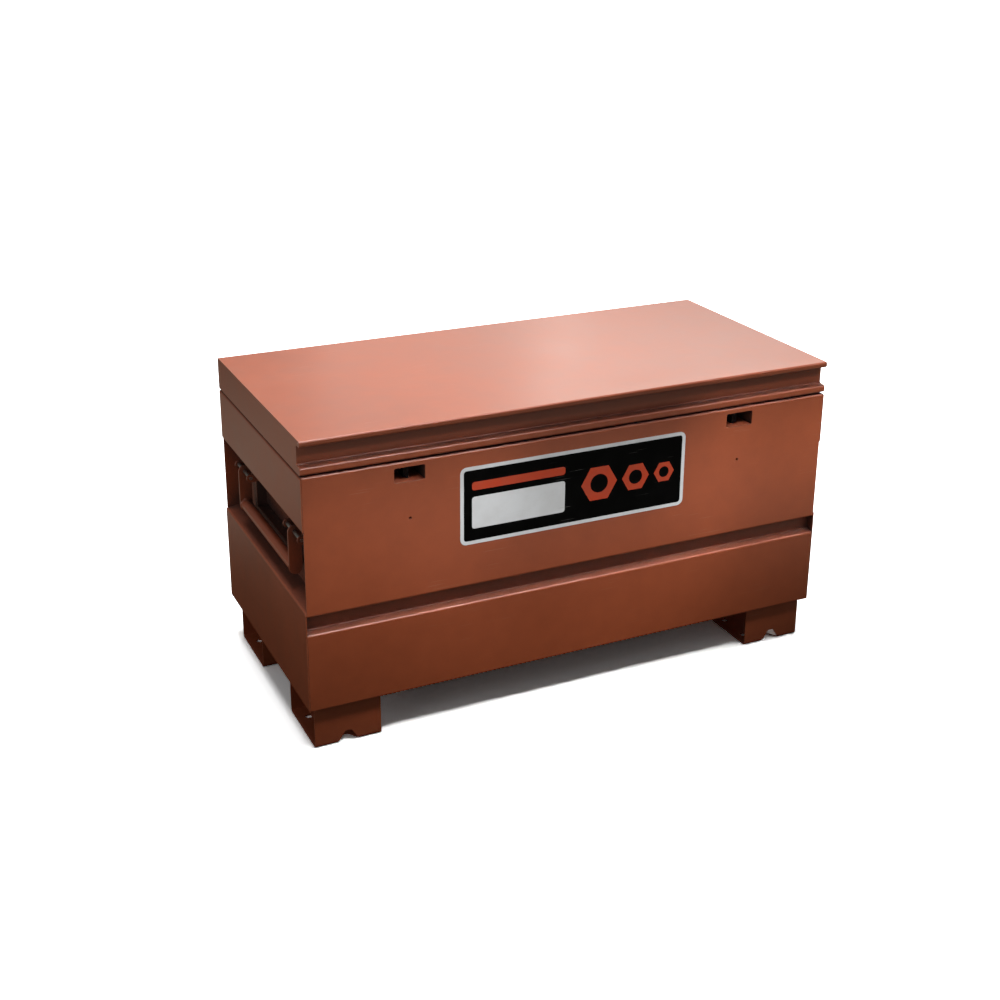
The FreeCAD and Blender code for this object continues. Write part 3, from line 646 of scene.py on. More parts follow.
@dataclass(frozen=True)
class MouldedRubber(Finish):
    """Black rubber with a fine moulded grain and pale dust on its crown."""

    name: str
    colour: Colour = (0.016, 0.016, 0.017, 1.0)
    bloom: Colour = (0.055, 0.053, 0.05, 1.0)
    bloom_scale: float = 240.0
    bloom_band: Flat = (0.4, 0.75)
    bloom_roughness: float = 0.18
    dust: float = 0.12
    dust_scale: float = 120.0
    dust_colour: Colour = (0.3, 0.27, 0.24, 1.0)
    roughness: float = 0.68
    grain_scale: float = 1500.0
    grain_height: float = 0.00004
    edge_radius: float = 0.0005

    def lay(self, sheet: NodeSheet) -> dict[str, Given]:
        """Lay the grain, the bloom and the dust.

        Args:
            sheet: where the nodes go.

        Returns:
            What goes into the shader's inputs, by name.
        """
        place = sheet.place()
        bloom = sheet.span(sheet.noise(place, self.bloom_scale, 3), *self.bloom_band)
        dust = sheet.effect(SETTLED_DUST, Clouds=self.dust_scale, Amount=self.dust)
        colour = sheet.tint(bloom, self.colour, self.bloom)
        height = sheet.times(sheet.noise(place, self.grain_scale), self.grain_height)
        soft = sheet.effect(SOFT_EDGE, Radius=self.edge_radius)
        return {
            "Base Color": sheet.tint(dust, colour, self.dust_colour),
            "Roughness": sheet.plus(self.roughness, bloom, self.bloom_roughness),
            "Normal": sheet.bump(height, soft),
        }


@dataclass(frozen=True)
class PrintedFilm(Finish):
    """Ink on vinyl film, under a clear laminate."""

    name: str
    colour: Colour
    fade: Colour
    fade_scale: float = 14.0
    fade_layers: Flat = (4, 0.6)
    fade_band: Flat = (0.35, 0.75)
    fade_roughness: float = 0.08
    scratches: float = 0.22
    scratch_spread: float = 16.0
    scratch_roughness: float = 0.4
    scratch_colour: Colour = (0.4, 0.39, 0.37, 1.0)
    roughness: float = 0.36
    specular: float = 0.30
    laminate: float = 0.10
    laminate_roughness: float = 0.22
    grain_scale: float = 700.0
    grain_height: float = 0.000012
    edge_radius: float = 0.0002

    def lay(self, sheet: NodeSheet) -> dict[str, Given]:
        """Lay the ink, its fading, fine scratches and the film's grain.

        Args:
            sheet: where the nodes go.

        Returns:
            What goes into the shader's inputs, by name.
        """
        place = sheet.place()
        faded = sheet.clouds(place, self.fade_scale, self.fade_layers, self.fade_band)
        scratch = sheet.effect(FINE_SCRATCHES, Spread=self.scratch_spread, Amount=self.scratches)
        colour = sheet.tint(faded, self.colour, self.fade)
        rough = sheet.plus(self.roughness, faded, self.fade_roughness)
        height = sheet.times(sheet.noise(place, self.grain_scale), self.grain_height)
        soft = sheet.effect(SOFT_EDGE, Radius=self.edge_radius)
        return {
            "Base Color": sheet.tint(scratch, colour, self.scratch_colour),
            "Roughness": sheet.plus(rough, scratch, self.scratch_roughness),
            "Normal": sheet.bump(height, soft),
            "Specular IOR Level": self.specular,
            "Coat Weight": self.laminate,
            "Coat Roughness": self.laminate_roughness,
        }


COPPER_BROWN: Colour = (0.40, 0.084, 0.028, 1.0)
# Lighter copies of the shell's brown: the box has one paint, and their difference from it is painted
# light.
LIT_FOOT_BROWN: Colour = (0.42, 0.092, 0.033, 1.0)
LIT_HANDLE_BROWN: Colour = (0.42, 0.092, 0.034, 1.0)

FINISHES: dict[Slot, Finish] = {
    Slot.SHELL: PowderCoat("shell_powder_coat", COPPER_BROWN),
    Slot.FOOT: PowderCoat("foot_powder_coat", LIT_FOOT_BROWN, grime=0.15, wear=0.5),
    Slot.HANDLE: PowderCoat("handle_powder_coat", LIT_HANDLE_BROWN, wear=0.6, wave_height=0.0),
    Slot.ZINC: PlatedSteel("bright_zinc", (0.66, 0.66, 0.64, 1.0), (0.42, 0.41, 0.38, 1.0)),
    # Plain steel near black, so that the handle pins sink into the recess: its darkness is partly
    # painted shade.
    Slot.STEEL: PlatedSteel(
        "oiled_steel", (0.026, 0.025, 0.026, 1.0), (0.016, 0.015, 0.015, 1.0), roughness=0.5),
    Slot.RUBBER: MouldedRubber("moulded_rubber"),
}
# Coats whose crevice mask reaches further and darker: painted shade in the handle recesses, the hand
# pockets and the lock housings.
END_COAT_WITH_PAINTED_SHADE = PowderCoat("end_powder_coat", COPPER_BROWN, grime_reach=0.11)
RECESS_COAT_WITH_PAINTED_SHADE = PowderCoat("recess_powder_coat", COPPER_BROWN, grime=0.97, grime_reach=0.16)
LOCK_COAT_WITH_PAINTED_SHADE = PowderCoat(
    "lock_powder_coat", COPPER_BROWN, grime=0.97, grime_reach=0.16, ledge_grime=0.3)
BLACK_INK = PrintedFilm(
    "black_ink", (0.0012, 0.0012, 0.0012, 1.0), (0.003, 0.003, 0.003, 1.0),
    specular=0.04, laminate=0.01)
PALE_INK = PrintedFilm("pale_ink", (0.84, 0.86, 0.88, 1.0), (0.76, 0.77, 0.78, 1.0))
ORANGE_INK = PrintedFilm("orange_ink", (0.62, 0.065, 0.022, 1.0), (0.54, 0.075, 0.035, 1.0))


@cache
def material_of(finish: Finish | Slot) -> bpy.types.Material:
    """The material of a finish, or of a slot's finish, made at its first use."""
    return material_of(FINISHES[finish]) if isinstance(finish, Slot) else finish.material()


def coat(*nodes: str, finish: Finish | None = None) -> None:
    """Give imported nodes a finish: their own, or that of the slot that the record names.

    Args:
        nodes: the nodes' names.
        finish: a finish of their own.
    """
    slots = {part["node"]: Slot(part["material_slot"]) for part in frame["record"]["subparts"]}
    for node in nodes:
        material = material_of(finish or slots[node])
        for place in frame["nodes"][node].material_slots:
            place.material = material
        log.info("dressed %s with %s", node, material.name)


# Meshes


@dataclass
class Span:
    """A box between two corners."""

    low: Vector
    high: Vector

    @property
    def middle(self) -> Vector:
        """The box's centre."""
        return (self.low + self.high) / 2

    def wall(self, side: Side) -> float:
        """The X of its face on a side."""
        return self.low.x if side is Side.LEFT else self.high.x

    def faces(self, axis: Axis) -> tuple[tuple[float, Vector], ...]:
        """Its two faces across an axis: where each lies, and the way out of it."""
        return (self.low[axis], -axis.way), (self.high[axis], axis.way)

    def seam(self, along: Axis, clear: float, at: dict[Axis, float]) -> tuple[Vector, Vector]:
        """The ends of a straight seam on the box.

        Args:
            along: the axis that it runs along.
            clear: how far it stays from the box's corners.
            at: where it lies on the other axes.

        Returns:
            Its two ends.
        """
        start, end = self.low.copy(), self.high.copy()
        for axis, value in at.items():
            start[axis] = end[axis] = value
        start[along] += clear
        end[along] -= clear
        return start, end


def node_span(node: str) -> Span:
    """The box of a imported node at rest."""
    return Span(*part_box(node))


def on_both_sides(*pieces: str) -> list[str]:
    """The nodes' names for pieces that both ends have."""
    return [f"{side.word}_{piece}" for side in Side for piece in pieces]


def solids_of(node: str) -> list[Span]:
    """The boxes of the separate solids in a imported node.

    Args:
        node: the node's name.

    Returns:
        One box for each solid, from the lowest X and Y up.
    """
    mesh = bmesh.new()
    mesh.from_mesh(frame["nodes"][node].data)
    bmesh.ops.remove_doubles(mesh, verts=mesh.verts, dist=1e-6)
    left = set(mesh.verts)
    spans = []
    while left:
        front = [left.pop()]
        found = list(front)
        while front:
            for edge in front.pop().link_edges:
                new = left.intersection(edge.verts)
                left -= new
                front += new
                found += new
        corners = list(zip(*(vert.co for vert in found)))
        spans.append(Span(Vector(map(min, corners)), Vector(map(max, corners))))
    mesh.free()
    return sorted(spans, key=lambda span: tuple(round(value, 4) for value in span.low))


def put(name: str, data: bpy.types.ID) -> bpy.types.Object:
    """Make an object of some data and link it into the scene.

    Args:
        name: the object's name.
        data: its mesh, light or lens.

    Returns:
        The object.
    """
    thing = bpy.data.objects.new(name, data)
    bpy.context.scene.collection.objects.link(thing)
    return thing


class PieceMesh:
    """A mesh in the making, which ends as one piece on a body."""

    crease: float = math.radians(40)

    def __init__(self) -> None:
        """Start with an empty mesh."""
        self.mesh = bmesh.new()

    def loft(self, rings: list[list[Vector]], closed: bool = False, finish: int = 0) -> None:
        """Join rings of points into a skin, with its ends shut unless it runs round.

        Args:
            rings: the rings, all with as many points.
            closed: whether the last ring joins the first.
            finish: the number of the material.
        """
        made = [[self.mesh.verts.new(point) for point in ring] for ring in rings]
        count = len(made[0])
        faces = []
        for index in range(len(made) if closed else len(made) - 1):
            here, there = made[index], made[(index + 1) % len(made)]
            for side in range(count):
                after = (side + 1) % count
                faces.append(self.mesh.faces.new((here[side], here[after], there[after], there[side])))
        if not closed:
            faces += [self.mesh.faces.new(made[0][::-1]), self.mesh.faces.new(made[-1])]
        for face in faces:
            face.material_index = finish
            face.smooth = True

    def plate(self, outline: list[Flat], back: float, front: float, finish: int = 0) -> None:
        """A flat plate with an outline in X and Z, between two places in Y."""
        self.loft([[Vector((x, y, z)) for x, z in outline] for y in (back, front)], finish=finish)

    def frame_plate(
            self, outer: list[Flat], inner: list[Flat], back: float, front: float, finish: int) -> None:
        """A flat plate with a hole, whose outline has as many points as the plate's own."""
        steps = ((outer, back), (outer, front), (inner, front), (inner, back))
        self.loft([[Vector((x, y, z)) for x, z in line] for line, y in steps], True, finish)

    def turned(self, profile: list[Flat], foot: Vector, axis: Vector, steps: int) -> None:
        """A turned solid.

        Args:
            profile: its outline as radius and height, from foot to crown.
            foot: where the axis starts.
            axis: the direction of the axis.
            steps: how many sides it has.
        """
        turn = Z_AXIS.rotation_difference(axis).to_matrix()
        angles = [2 * math.pi * step / steps for step in range(steps)]
        spokes = [(math.cos(angle), math.sin(angle)) for angle in angles]
        self.loft([
            [foot + turn @ Vector((radius * x, radius * y, height)) for x, y in spokes]
            for radius, height in profile])

    def piece(
            self, name: str, body: Body, slot: Slot,
            materials: list[bpy.types.Material]) -> bpy.types.Object:
        """End the mesh as a piece that rides on a body.

        Args:
            name: the piece's name.
            body: the body that it moves with.
            slot: the record's slot for its finish; not used.
            materials: its materials, by number.

        Returns:
            The new object.
        """
        bmesh.ops.recalc_face_normals(self.mesh, faces=self.mesh.faces)
        data = bpy.data.meshes.new(name)
        self.mesh.to_mesh(data)
        self.mesh.free()
        for material in materials:
            data.materials.append(material)
        data.set_sharp_from_angle(angle=self.crease)
        thing = put(name, data)
        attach(thing, body.value)
        log.info("built %s on %s", name, body.value)
        return thing


@dataclass
class WeldTorch:
    """Lays fillet welds: a rounded bead with ripples, sunk a little into both plates."""

    leg: float = 0.0036
    ripple: float = 0.0030
    sink: float = 0.0003
    hollow: float = 0.14
    crest: float = 1.1
    end_taper: float = 0.45
    arc_points: int = 5
    least_rings: int = 4
    spare_rings: int = 8
    unevenness: float = 0.10
    seed: int = 7

    def __post_init__(self) -> None:
        """Start the bead's own row of uneven sizes."""
        self.draw = random.Random(self.seed)

    def section(self, corner: Vector, along: Vector, across: Vector, size: float) -> list[Vector]:
        """One ring of the bead.

        Args:
            corner: where the two plates meet.
            along: the direction up the first plate.
            across: the direction out along the second plate.
            size: the bead's leg here.

        Returns:
            The ring's points.
        """
        ring = [corner - (along + across) * self.sink]
        for index in range(self.arc_points):
            angle = math.pi / 2 * index / (self.arc_points - 1)
            bulge = size * (1 - self.hollow + self.hollow * math.cos(4 * angle))
            ring.append(corner + along * (bulge * math.cos(angle)) + across * (bulge * math.sin(angle)))
        ring[1] -= across * self.sink
        ring[-1] -= along * self.sink
        return ring

    def sizes(self, count: int) -> list[float]:
        """The bead's leg at so many rings, rising and falling with its ripples."""
        uneven = [1 + self.draw.uniform(-self.unevenness, self.unevenness) for _ in range(count)]
        return [self.leg * (1.0, self.crest)[index % 2] * size for index, size in enumerate(uneven)]

    def run(self, mesh: PieceMesh, start: Vector, end: Vector, along: Vector, across: Vector) -> None:
        """Lay a straight weld.

        Args:
            mesh: the piece that it goes into.
            start: one end of the corner.
            end: its other end.
            along: the direction up the first plate.
            across: the direction out along the second plate.
        """
        count = max(self.least_rings, round((end - start).length / self.ripple * 2))
        sizes = self.sizes(count + 1)
        sizes[0] *= self.end_taper
        sizes[-1] *= self.end_taper
        mesh.loft([
            self.section(start.lerp(end, index / count), along, across, size)
            for index, size in enumerate(sizes)])

    def stitches(
            self, mesh: PieceMesh, start: Vector, end: Vector, along: Vector, across: Vector,
            count: int, length: float) -> None:
        """Lay a row of short welds, evenly spaced between two points.

        Args:
            mesh: the piece that they go into.
            start: one end of the row.
            end: its other end.
            along: the direction up the first plate.
            across: the direction out along the second plate.
            count: how many welds there are.
            length: the length of each.
        """
        way = (end - start).normalized()
        for index in range(count):
            middle = start.lerp(end, (index + 0.5) / count)
            self.run(mesh, middle - way * length / 2, middle + way * length / 2, along, across)

    def ring(self, mesh: PieceMesh, centre: Vector, axis: Vector, radius: float) -> None:
        """Lay a weld round a bar or tube.

        Args:
            mesh: the piece that it goes into.
            centre: the middle of the bar where it meets the plate.
            axis: the direction of the bar, away from the plate.
            radius: the bar's radius.
        """
        count = 2 * round(math.pi * radius / self.ripple) + self.spare_rings
        spoke = axis.orthogonal().normalized()
        rings = []
        for index, size in enumerate(self.sizes(count)):
            outward = Matrix.Rotation(2 * math.pi * index / count, 3, axis) @ spoke
            rings.append(self.section(centre + outward * radius, axis, outward, size))
        mesh.loft(rings, closed=True)


# Sub-assemblies


class SubAssembly:
    """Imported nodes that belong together, with the small pieces that the scene adds to them."""

    def dress(self) -> None:
        """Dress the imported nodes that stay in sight: none, unless a sub-assembly names some."""

    def build(self) -> None:
        """Build the added pieces."""
        raise NotImplementedError


@dataclass
class ChestShell(SubAssembly):
    """The folded panels of the chest, stitched together inside."""

    sheet: float = 0.002
    weld_length: float = 0.038
    corner_clear: float = 0.012
    corner_welds: int = 2
    long_edge_welds: int = 4
    short_edge_welds: int = 1

    def dress(self) -> None:
        """Paint the panels, the pockets and the floor."""
        coat("front_panel", "rear_panel", "floor_panel")
        # The end panels and hand pockets take coats that paint shade into the handle recesses and
        # pockets.
        coat(*on_both_sides("end_panel"), finish=END_COAT_WITH_PAINTED_SHADE)
        coat(*on_both_sides("hand_pocket"), finish=RECESS_COAT_WITH_PAINTED_SHADE)

    def build(self) -> None:
        """Weld the corners and the hand pockets from inside."""
        front = node_span("front_panel").low.y + self.sheet
        rear = node_span("rear_panel").high.y - self.sheet
        edges = ((Axis.Z, Axis.Y, self.long_edge_welds), (Axis.Y, Axis.Z, self.short_edge_welds))
        corners, pockets = PieceMesh(), PieceMesh()
        torch = WeldTorch()
        for side in Side:
            pocket = node_span(f"{side.word}_hand_pocket")
            wall = pocket.wall(side)
            for y, inward in ((front, Y_AXIS), (rear, -Y_AXIS)):
                seam = pocket.seam(Axis.Z, -self.corner_clear, {Axis.X: wall, Axis.Y: y})
                torch.stitches(
                    corners, *seam, inward, side.inward, self.corner_welds, self.weld_length)
            for across, along, count in edges:
                for value, outward in pocket.faces(across):
                    seam = pocket.seam(along, self.corner_clear, {Axis.X: wall, across: value})
                    torch.stitches(pockets, *seam, outward, side.inward, count, self.weld_length)
        paint = material_of(Slot.SHELL)
        corners.piece("corner_welds", Body.CHEST, Slot.SHELL, [paint])
        pockets.piece("hand_pocket_welds", Body.CHEST, Slot.SHELL, [paint])


@dataclass
class ChannelFeet(SubAssembly):
    """The four channel feet, welded under the chest from inside the channels."""

    plate: float = 0.003
    weld_length: float = 0.046
    welds_per_wall: int = 2
    end_clear: float = 0.010
    weld_leg: float = 0.0045
    names: tuple[str, ...] = ("front_left_foot", "front_right_foot", "rear_left_foot", "rear_right_foot")

    def dress(self) -> None:
        """Paint the feet."""
        coat(*self.names)

    def build(self) -> None:
        """Weld the tops of the channel walls to the chest."""
        welds = PieceMesh()
        torch = WeldTorch(leg=self.weld_leg, seed=11)
        for name in self.names:
            foot = node_span(name)
            walls = ((foot.low.y + self.plate, Y_AXIS), (foot.high.y - self.plate, -Y_AXIS))
            for y, inward in walls:
                seam = foot.seam(Axis.X, self.end_clear, {Axis.Y: y, Axis.Z: foot.high.z})
                torch.stitches(
                    welds, *seam, inward, -Z_AXIS, self.welds_per_wall, self.weld_length)
        welds.piece("foot_welds", Body.CHEST, Slot.FOOT, [material_of(Slot.FOOT)])


@dataclass
class RibbedLid(SubAssembly):
    """The lid's skin and end plates, with spot-welded ribs under it.

    The spots' profile is given in shares of their radius and height.
    """

    sheet: float = 0.002
    brim: float = 0.015
    spot_radius: float = 0.0032
    spot_height: float = 0.0005
    spot_pitch: float = 0.060
    spot_steps: int = 14
    spot_profile: tuple[Flat, ...] = ((1.0, -1.0), (0.92, 0.6), (0.62, 1.0), (0.45, 0.35))
    ribs: tuple[str, ...] = ("left_lid_rib", "middle_lid_rib", "right_lid_rib")

    def dress(self) -> None:
        """Paint the skin, the end plates and the ribs."""
        coat("lid_skin", "left_lid_end", "right_lid_end", *self.ribs)

    def build(self) -> None:
        """Press a row of spot welds into both brims of each rib."""
        spots = PieceMesh()
        profile = [(self.spot_radius * out, self.spot_height * up) for out, up in self.spot_profile]
        for name in self.ribs:
            rib = node_span(name)
            under = rib.high.z - self.sheet
            length = rib.high.y - rib.low.y
            count = int(length / self.spot_pitch)
            for x in (rib.low.x + self.brim / 2, rib.high.x - self.brim / 2):
                for index in range(count):
                    spot = Vector((x, rib.low.y + length * (index + 0.5) / count, under))
                    spots.turned(profile, spot, -Z_AXIS, self.spot_steps)
        spots.piece("rib_spot_welds", Body.LID, Slot.SHELL, [material_of(Slot.SHELL)])


@dataclass
class LongHinge(SubAssembly):
    """The continuous hinge, stitched to the chest and the lid."""

    weld_length: float = 0.025
    weld_count: int = 9
    weld_leg: float = 0.0021
    weld_ripple: float = 0.0024

    def dress(self) -> None:
        """Paint the leaves and plate the pin."""
        coat("hinge_body_leaf", "hinge_lid_leaf", "hinge_pin")

    def build(self) -> None:
        """Stitch the free edge of each leaf."""
        torch = WeldTorch(leg=self.weld_leg, ripple=self.weld_ripple, seed=23)
        rows = (
            ("hinge_body_leaf", "hinge_body_welds", Body.CHEST, -Z_AXIS),
            ("hinge_lid_leaf", "hinge_lid_welds", Body.LID, Z_AXIS),
        )
        for node, name, body, outward in rows:
            leaf = node_span(node)
            edge = leaf.low.z if outward.z < 0 else leaf.high.z
            seam = leaf.seam(Axis.X, 0.0, {Axis.Y: leaf.low.y, Axis.Z: edge})
            welds = PieceMesh()
            torch.stitches(welds, *seam, outward, Y_AXIS, self.weld_count, self.weld_length)
            welds.piece(name, body, Slot.SHELL, [material_of(Slot.SHELL)])


@dataclass
class RecessedLocks(SubAssembly):
    """The two padlock housings behind the front, each with a staple and the lid's hasp tongue."""

    weld_length: float = 0.020
    end_clear: float = 0.004
    weld_leg: float = 0.0030
    long_edge_welds: int = 2
    short_edge_welds: int = 1

    def dress(self) -> None:
        """Paint the housings and leave the staples and tongues as steel."""
        # The housings' coat paints shade deep into their insides, with less on their floors.
        coat(*on_both_sides("lock_housing"), finish=LOCK_COAT_WITH_PAINTED_SHADE)
        coat(*on_both_sides("lock_staple", "hasp_tongue"))

    def build(self) -> None:
        """Weld each housing to the back of the front panel."""
        edges = ((Axis.Z, Axis.X, self.long_edge_welds), (Axis.X, Axis.Z, self.short_edge_welds))
        welds = PieceMesh()
        torch = WeldTorch(leg=self.weld_leg, seed=31)
        for housing in map(node_span, on_both_sides("lock_housing")):
            for across, along, count in edges:
                for value, outward in housing.faces(across):
                    at = {Axis.Y: housing.low.y, across: value}
                    seam = housing.seam(along, self.end_clear, at)
                    torch.stitches(welds, *seam, outward, Y_AXIS, count, self.weld_length)
        welds.piece("lock_housing_welds", Body.CHEST, Slot.SHELL, [material_of(Slot.SHELL)])


@dataclass
class DropHandles(SubAssembly):
    """A tube grip on two arms in each end, hung on pins between welded lugs."""

    tube_weld_leg: float = 0.0026
    lug_weld_leg: float = 0.0030
    lug_clear: float = 0.0055

    def dress(self) -> None:
        """Paint the grips, arms and lugs, and plate the pins."""
        coat(*on_both_sides("handle_tube", "handle_arms", "handle_lugs", "handle_pins"))

    def build(self) -> None:
        """Weld the grips to their arms and the lugs to the recess walls."""
        paint = material_of(Slot.HANDLE)
        for side in Side:
            tube = node_span(f"{side.word}_handle_tube")
            radius = (tube.high.z - tube.low.z) / 2
            rings = PieceMesh()
            torch = WeldTorch(leg=self.tube_weld_leg, seed=41)
            for y, outward in tube.faces(Axis.Y):
                torch.ring(rings, Vector((tube.middle.x, y, tube.middle.z)), -outward, radius)
            body = Body(f"{side.word}_handle")
            rings.piece(f"{side.word}_grip_welds", body, Slot.HANDLE, [paint])
            welds = PieceMesh()
            torch = WeldTorch(leg=self.lug_weld_leg, seed=43)
            for lug in solids_of(f"{side.word}_handle_lugs"):
                for y, outward in lug.faces(Axis.Y):
                    at = {Axis.X: lug.wall(side.other), Axis.Y: y}
                    start, end = lug.seam(Axis.Z, 0.0, at)
                    start.z += self.lug_clear
                    torch.run(welds, start, end, outward, -side.inward)
            welds.piece(f"{side.word}_lug_welds", Body.CHEST, Slot.HANDLE, [paint])


@dataclass
class LidStays(SubAssembly):
    """The slotted stays, their studs on the end walls and their brackets under the lid."""

    collar_radius: float = 0.009
    stud_weld_leg: float = 0.0028
    bracket_weld_leg: float = 0.0024
    bracket_clear: float = 0.006

    def dress(self) -> None:
        """Plate the stays, studs and pins, and paint the brackets."""
        coat(*on_both_sides("stay", "stay_stud", "stay_pin", "stay_bracket"))

    def build(self) -> None:
        """Weld the studs to the walls and the brackets to the lid."""
        studs, brackets = PieceMesh(), PieceMesh()
        stud_torch = WeldTorch(leg=self.stud_weld_leg, seed=53)
        bracket_torch = WeldTorch(leg=self.bracket_weld_leg, seed=59)
        for side in Side:
            foot = node_span(f"{side.word}_stay_stud").middle
            foot.x = node_span(f"{side.word}_hand_pocket").wall(side)
            stud_torch.ring(studs, foot, side.inward, self.collar_radius)
            bracket = node_span(f"{side.word}_stay_bracket")
            for y, outward in bracket.faces(Axis.Y):
                at = {Axis.Y: y, Axis.Z: bracket.high.z}
                seam = bracket.seam(Axis.X, self.bracket_clear, at)
                bracket_torch.run(brackets, *seam, outward, -Z_AXIS)
        paint = material_of(Slot.SHELL)
        studs.piece("stay_stud_welds", Body.CHEST, Slot.SHELL, [paint])
        brackets.piece("stay_bracket_welds", Body.LID, Slot.SHELL, [paint])


@dataclass
class RubberStops(SubAssembly):
    """Moulded stops on the chest's rim, under the lid's edge, in place of the plain ones.

    Their profile, a skirt, a waist and a round crown, is given in shares of radius and height.
    """

    profile: tuple[Flat, ...] = (
        (1.0, 0.0), (1.0, 0.16), (0.88, 0.272), (0.88, 0.72), (0.715, 0.92), (0.55, 1.0))
    steps: int = 28

    def build(self) -> None:
        """Mould a stop at each place."""
        stops = PieceMesh()
        for stop in solids_of("lid_bumpers"):
            radius = (stop.high.x - stop.low.x) / 2
            height = stop.high.z - stop.low.z
            profile = [(radius * out, height * up) for out, up in self.profile]
            foot = Vector((stop.middle.x, stop.middle.y, stop.low.z))
            stops.turned(profile, foot, Z_AXIS, self.steps)
        piece = stops.piece("rubber_stops", Body.CHEST, Slot.RUBBER, [material_of(Slot.RUBBER)])
        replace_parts(piece, "lid_bumpers")


@dataclass
class FrontLabel(SubAssembly):
    """A printed film on the front, in place of the plain one.

    It has a pale rim, a black field, a write-on panel under a bar, and three hexagon nuts.
    """

    film_share: float = 0.60
    field_share: float = 0.80
    rim: float = 0.008
    corner: float = 0.014
    margin: float = 0.026
    panel_width: float = 0.212
    panel_height: float = 0.070
    panel_corner: float = 0.006
    bar_height: float = 0.018
    bar_gap: float = 0.014
    nuts: tuple[float, ...] = (0.043, 0.033, 0.025)
    nut_gap: float = 0.012
    bore_share: float = 0.56
    arc_steps: int = 8
    nut_steps: int = 48

    def rounded(self, low: Flat, high: Flat, radius: float) -> list[Flat]:
        """A rectangle with round corners.

        Args:
            low: its lowest X and Z.
            high: its highest X and Z.
            radius: the corners' radius.

        Returns:
            Its outline as X and Z.
        """
        left, right = low[0] + radius, high[0] - radius
        foot, top = low[1] + radius, high[1] - radius
        outline = []
        for quarter, (x, z) in enumerate(((right, top), (left, top), (left, foot), (right, foot))):
            for step in range(self.arc_steps + 1):
                angle = math.pi / 2 * (quarter + step / self.arc_steps)
                outline.append((x + radius * math.cos(angle), z + radius * math.sin(angle)))
        return outline

    def nut(self, centre: Flat, size: float) -> tuple[list[Flat], list[Flat]]:
        """A hexagon and its round bore, with as many points each.

        Args:
            centre: the nut's middle as X and Z.
            size: how far its corners lie from the middle.

        Returns:
            The hexagon's outline and the bore's.
        """
        outer, inner = [], []
        half_side = math.pi / 6
        flat = size * math.cos(half_side)
        for step in range(self.nut_steps):
            angle = 2 * math.pi * step / self.nut_steps
            from_corner = abs((angle + half_side) % (2 * half_side) - half_side)
            reach = flat / math.cos(half_side - from_corner)
            for outline, radius in ((outer, reach), (inner, flat * self.bore_share)):
                outline.append(
                    (centre[0] + radius * math.cos(angle), centre[1] + radius * math.sin(angle)))
        return outer, inner

    def build(self) -> None:
        """Print the label in thin layers."""
        span = node_span("front_label")
        back, front = span.high.y, span.low.y
        film = back + (front - back) * self.film_share
        field = back + (front - back) * self.field_share
        low, high = (span.low.x, span.low.z), (span.high.x, span.high.z)
        label = PieceMesh()
        pale, black, orange = range(3)
        label.plate(self.rounded(low, high, self.corner), back, film, pale)
        inner_low = (low[0] + self.rim, low[1] + self.rim)
        inner_high = (high[0] - self.rim, high[1] - self.rim)
        label.plate(self.rounded(inner_low, inner_high, self.corner - self.rim), film, field, black)
        block_height = self.panel_height + self.bar_gap + self.bar_height
        panel_low = (low[0] + self.margin, span.middle.z - block_height / 2)
        panel_high = (panel_low[0] + self.panel_width, panel_low[1] + self.panel_height)
        label.plate(self.rounded(panel_low, panel_high, self.panel_corner), field, front, pale)
        bar_low = (panel_low[0], panel_high[1] + self.bar_gap)
        bar_high = (panel_high[0], bar_low[1] + self.bar_height)
        label.plate(self.rounded(bar_low, bar_high, self.panel_corner), field, front, orange)
        x = high[0] - self.margin
        for size in reversed(self.nuts):
            label.frame_plate(*self.nut((x - size, span.middle.z), size), field, front, orange)
            x -= 2 * size + self.nut_gap
        inks = [material_of(ink) for ink in (PALE_INK, BLACK_INK, ORANGE_INK)]
        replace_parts(label.piece("front_label_print", Body.CHEST, Slot.PRINT, inks), "front_label")


# Studio


@dataclass(frozen=True)
class Softbox:
    """A rectangular light that the camera doesn't see."""

    name: str
    place: Place
    target: Place
    width: float
    height: float
    power: float
    spread: float = 180.0
    along_x: bool = False
    colour: Place = (1.0, 1.0, 1.0)

    def hang(self) -> None:
        """Put the light into the scene, facing its target."""
        lamp = bpy.data.lights.new(self.name, "AREA")
        lamp.shape = "RECTANGLE"
        lamp.size, lamp.size_y = self.width, self.height
        lamp.energy = self.power
        lamp.spread = math.radians(self.spread)
        lamp.color = self.colour
        thing = put(self.name, lamp)
        thing.location = self.place
        way = (Vector(self.target) - Vector(self.place)).normalized()
        turn = self.lengthwise(way) if self.along_x else way.to_track_quat("-Z", "Y")
        thing.rotation_euler = turn.to_euler()
        thing.visible_camera = False

    def lengthwise(self, way: Vector) -> Matrix:
        """The turn of a light that shines one way, with its width as near to X as that allows."""
        width = (X_AXIS - way * way.x).normalized()
        return Matrix((width, width.cross(way), -way)).transposed()


@dataclass(frozen=True)
class FrontStrip:
    """A narrow light high above the front, which leans to the left on its way down."""

    name: str
    x: float
    aim_height: float
    power: float
    spread: float
    y: float = -0.62
    height: float = 1.02
    lean: float = 0.16
    front: float = -0.293
    length: float = 0.5
    depth: float = 0.14

    def softbox(self) -> Softbox:
        """The strip as a softbox that lies along the front.

        Returns:
            The softbox.
        """
        place = (self.x, self.y, self.height)
        target = (self.x - self.lean, self.front, self.aim_height)
        return Softbox(
            self.name, place, target, self.length, self.depth, self.power, self.spread, along_x=True)


WARM_CARD: Place = (1.0, 0.985, 0.93)


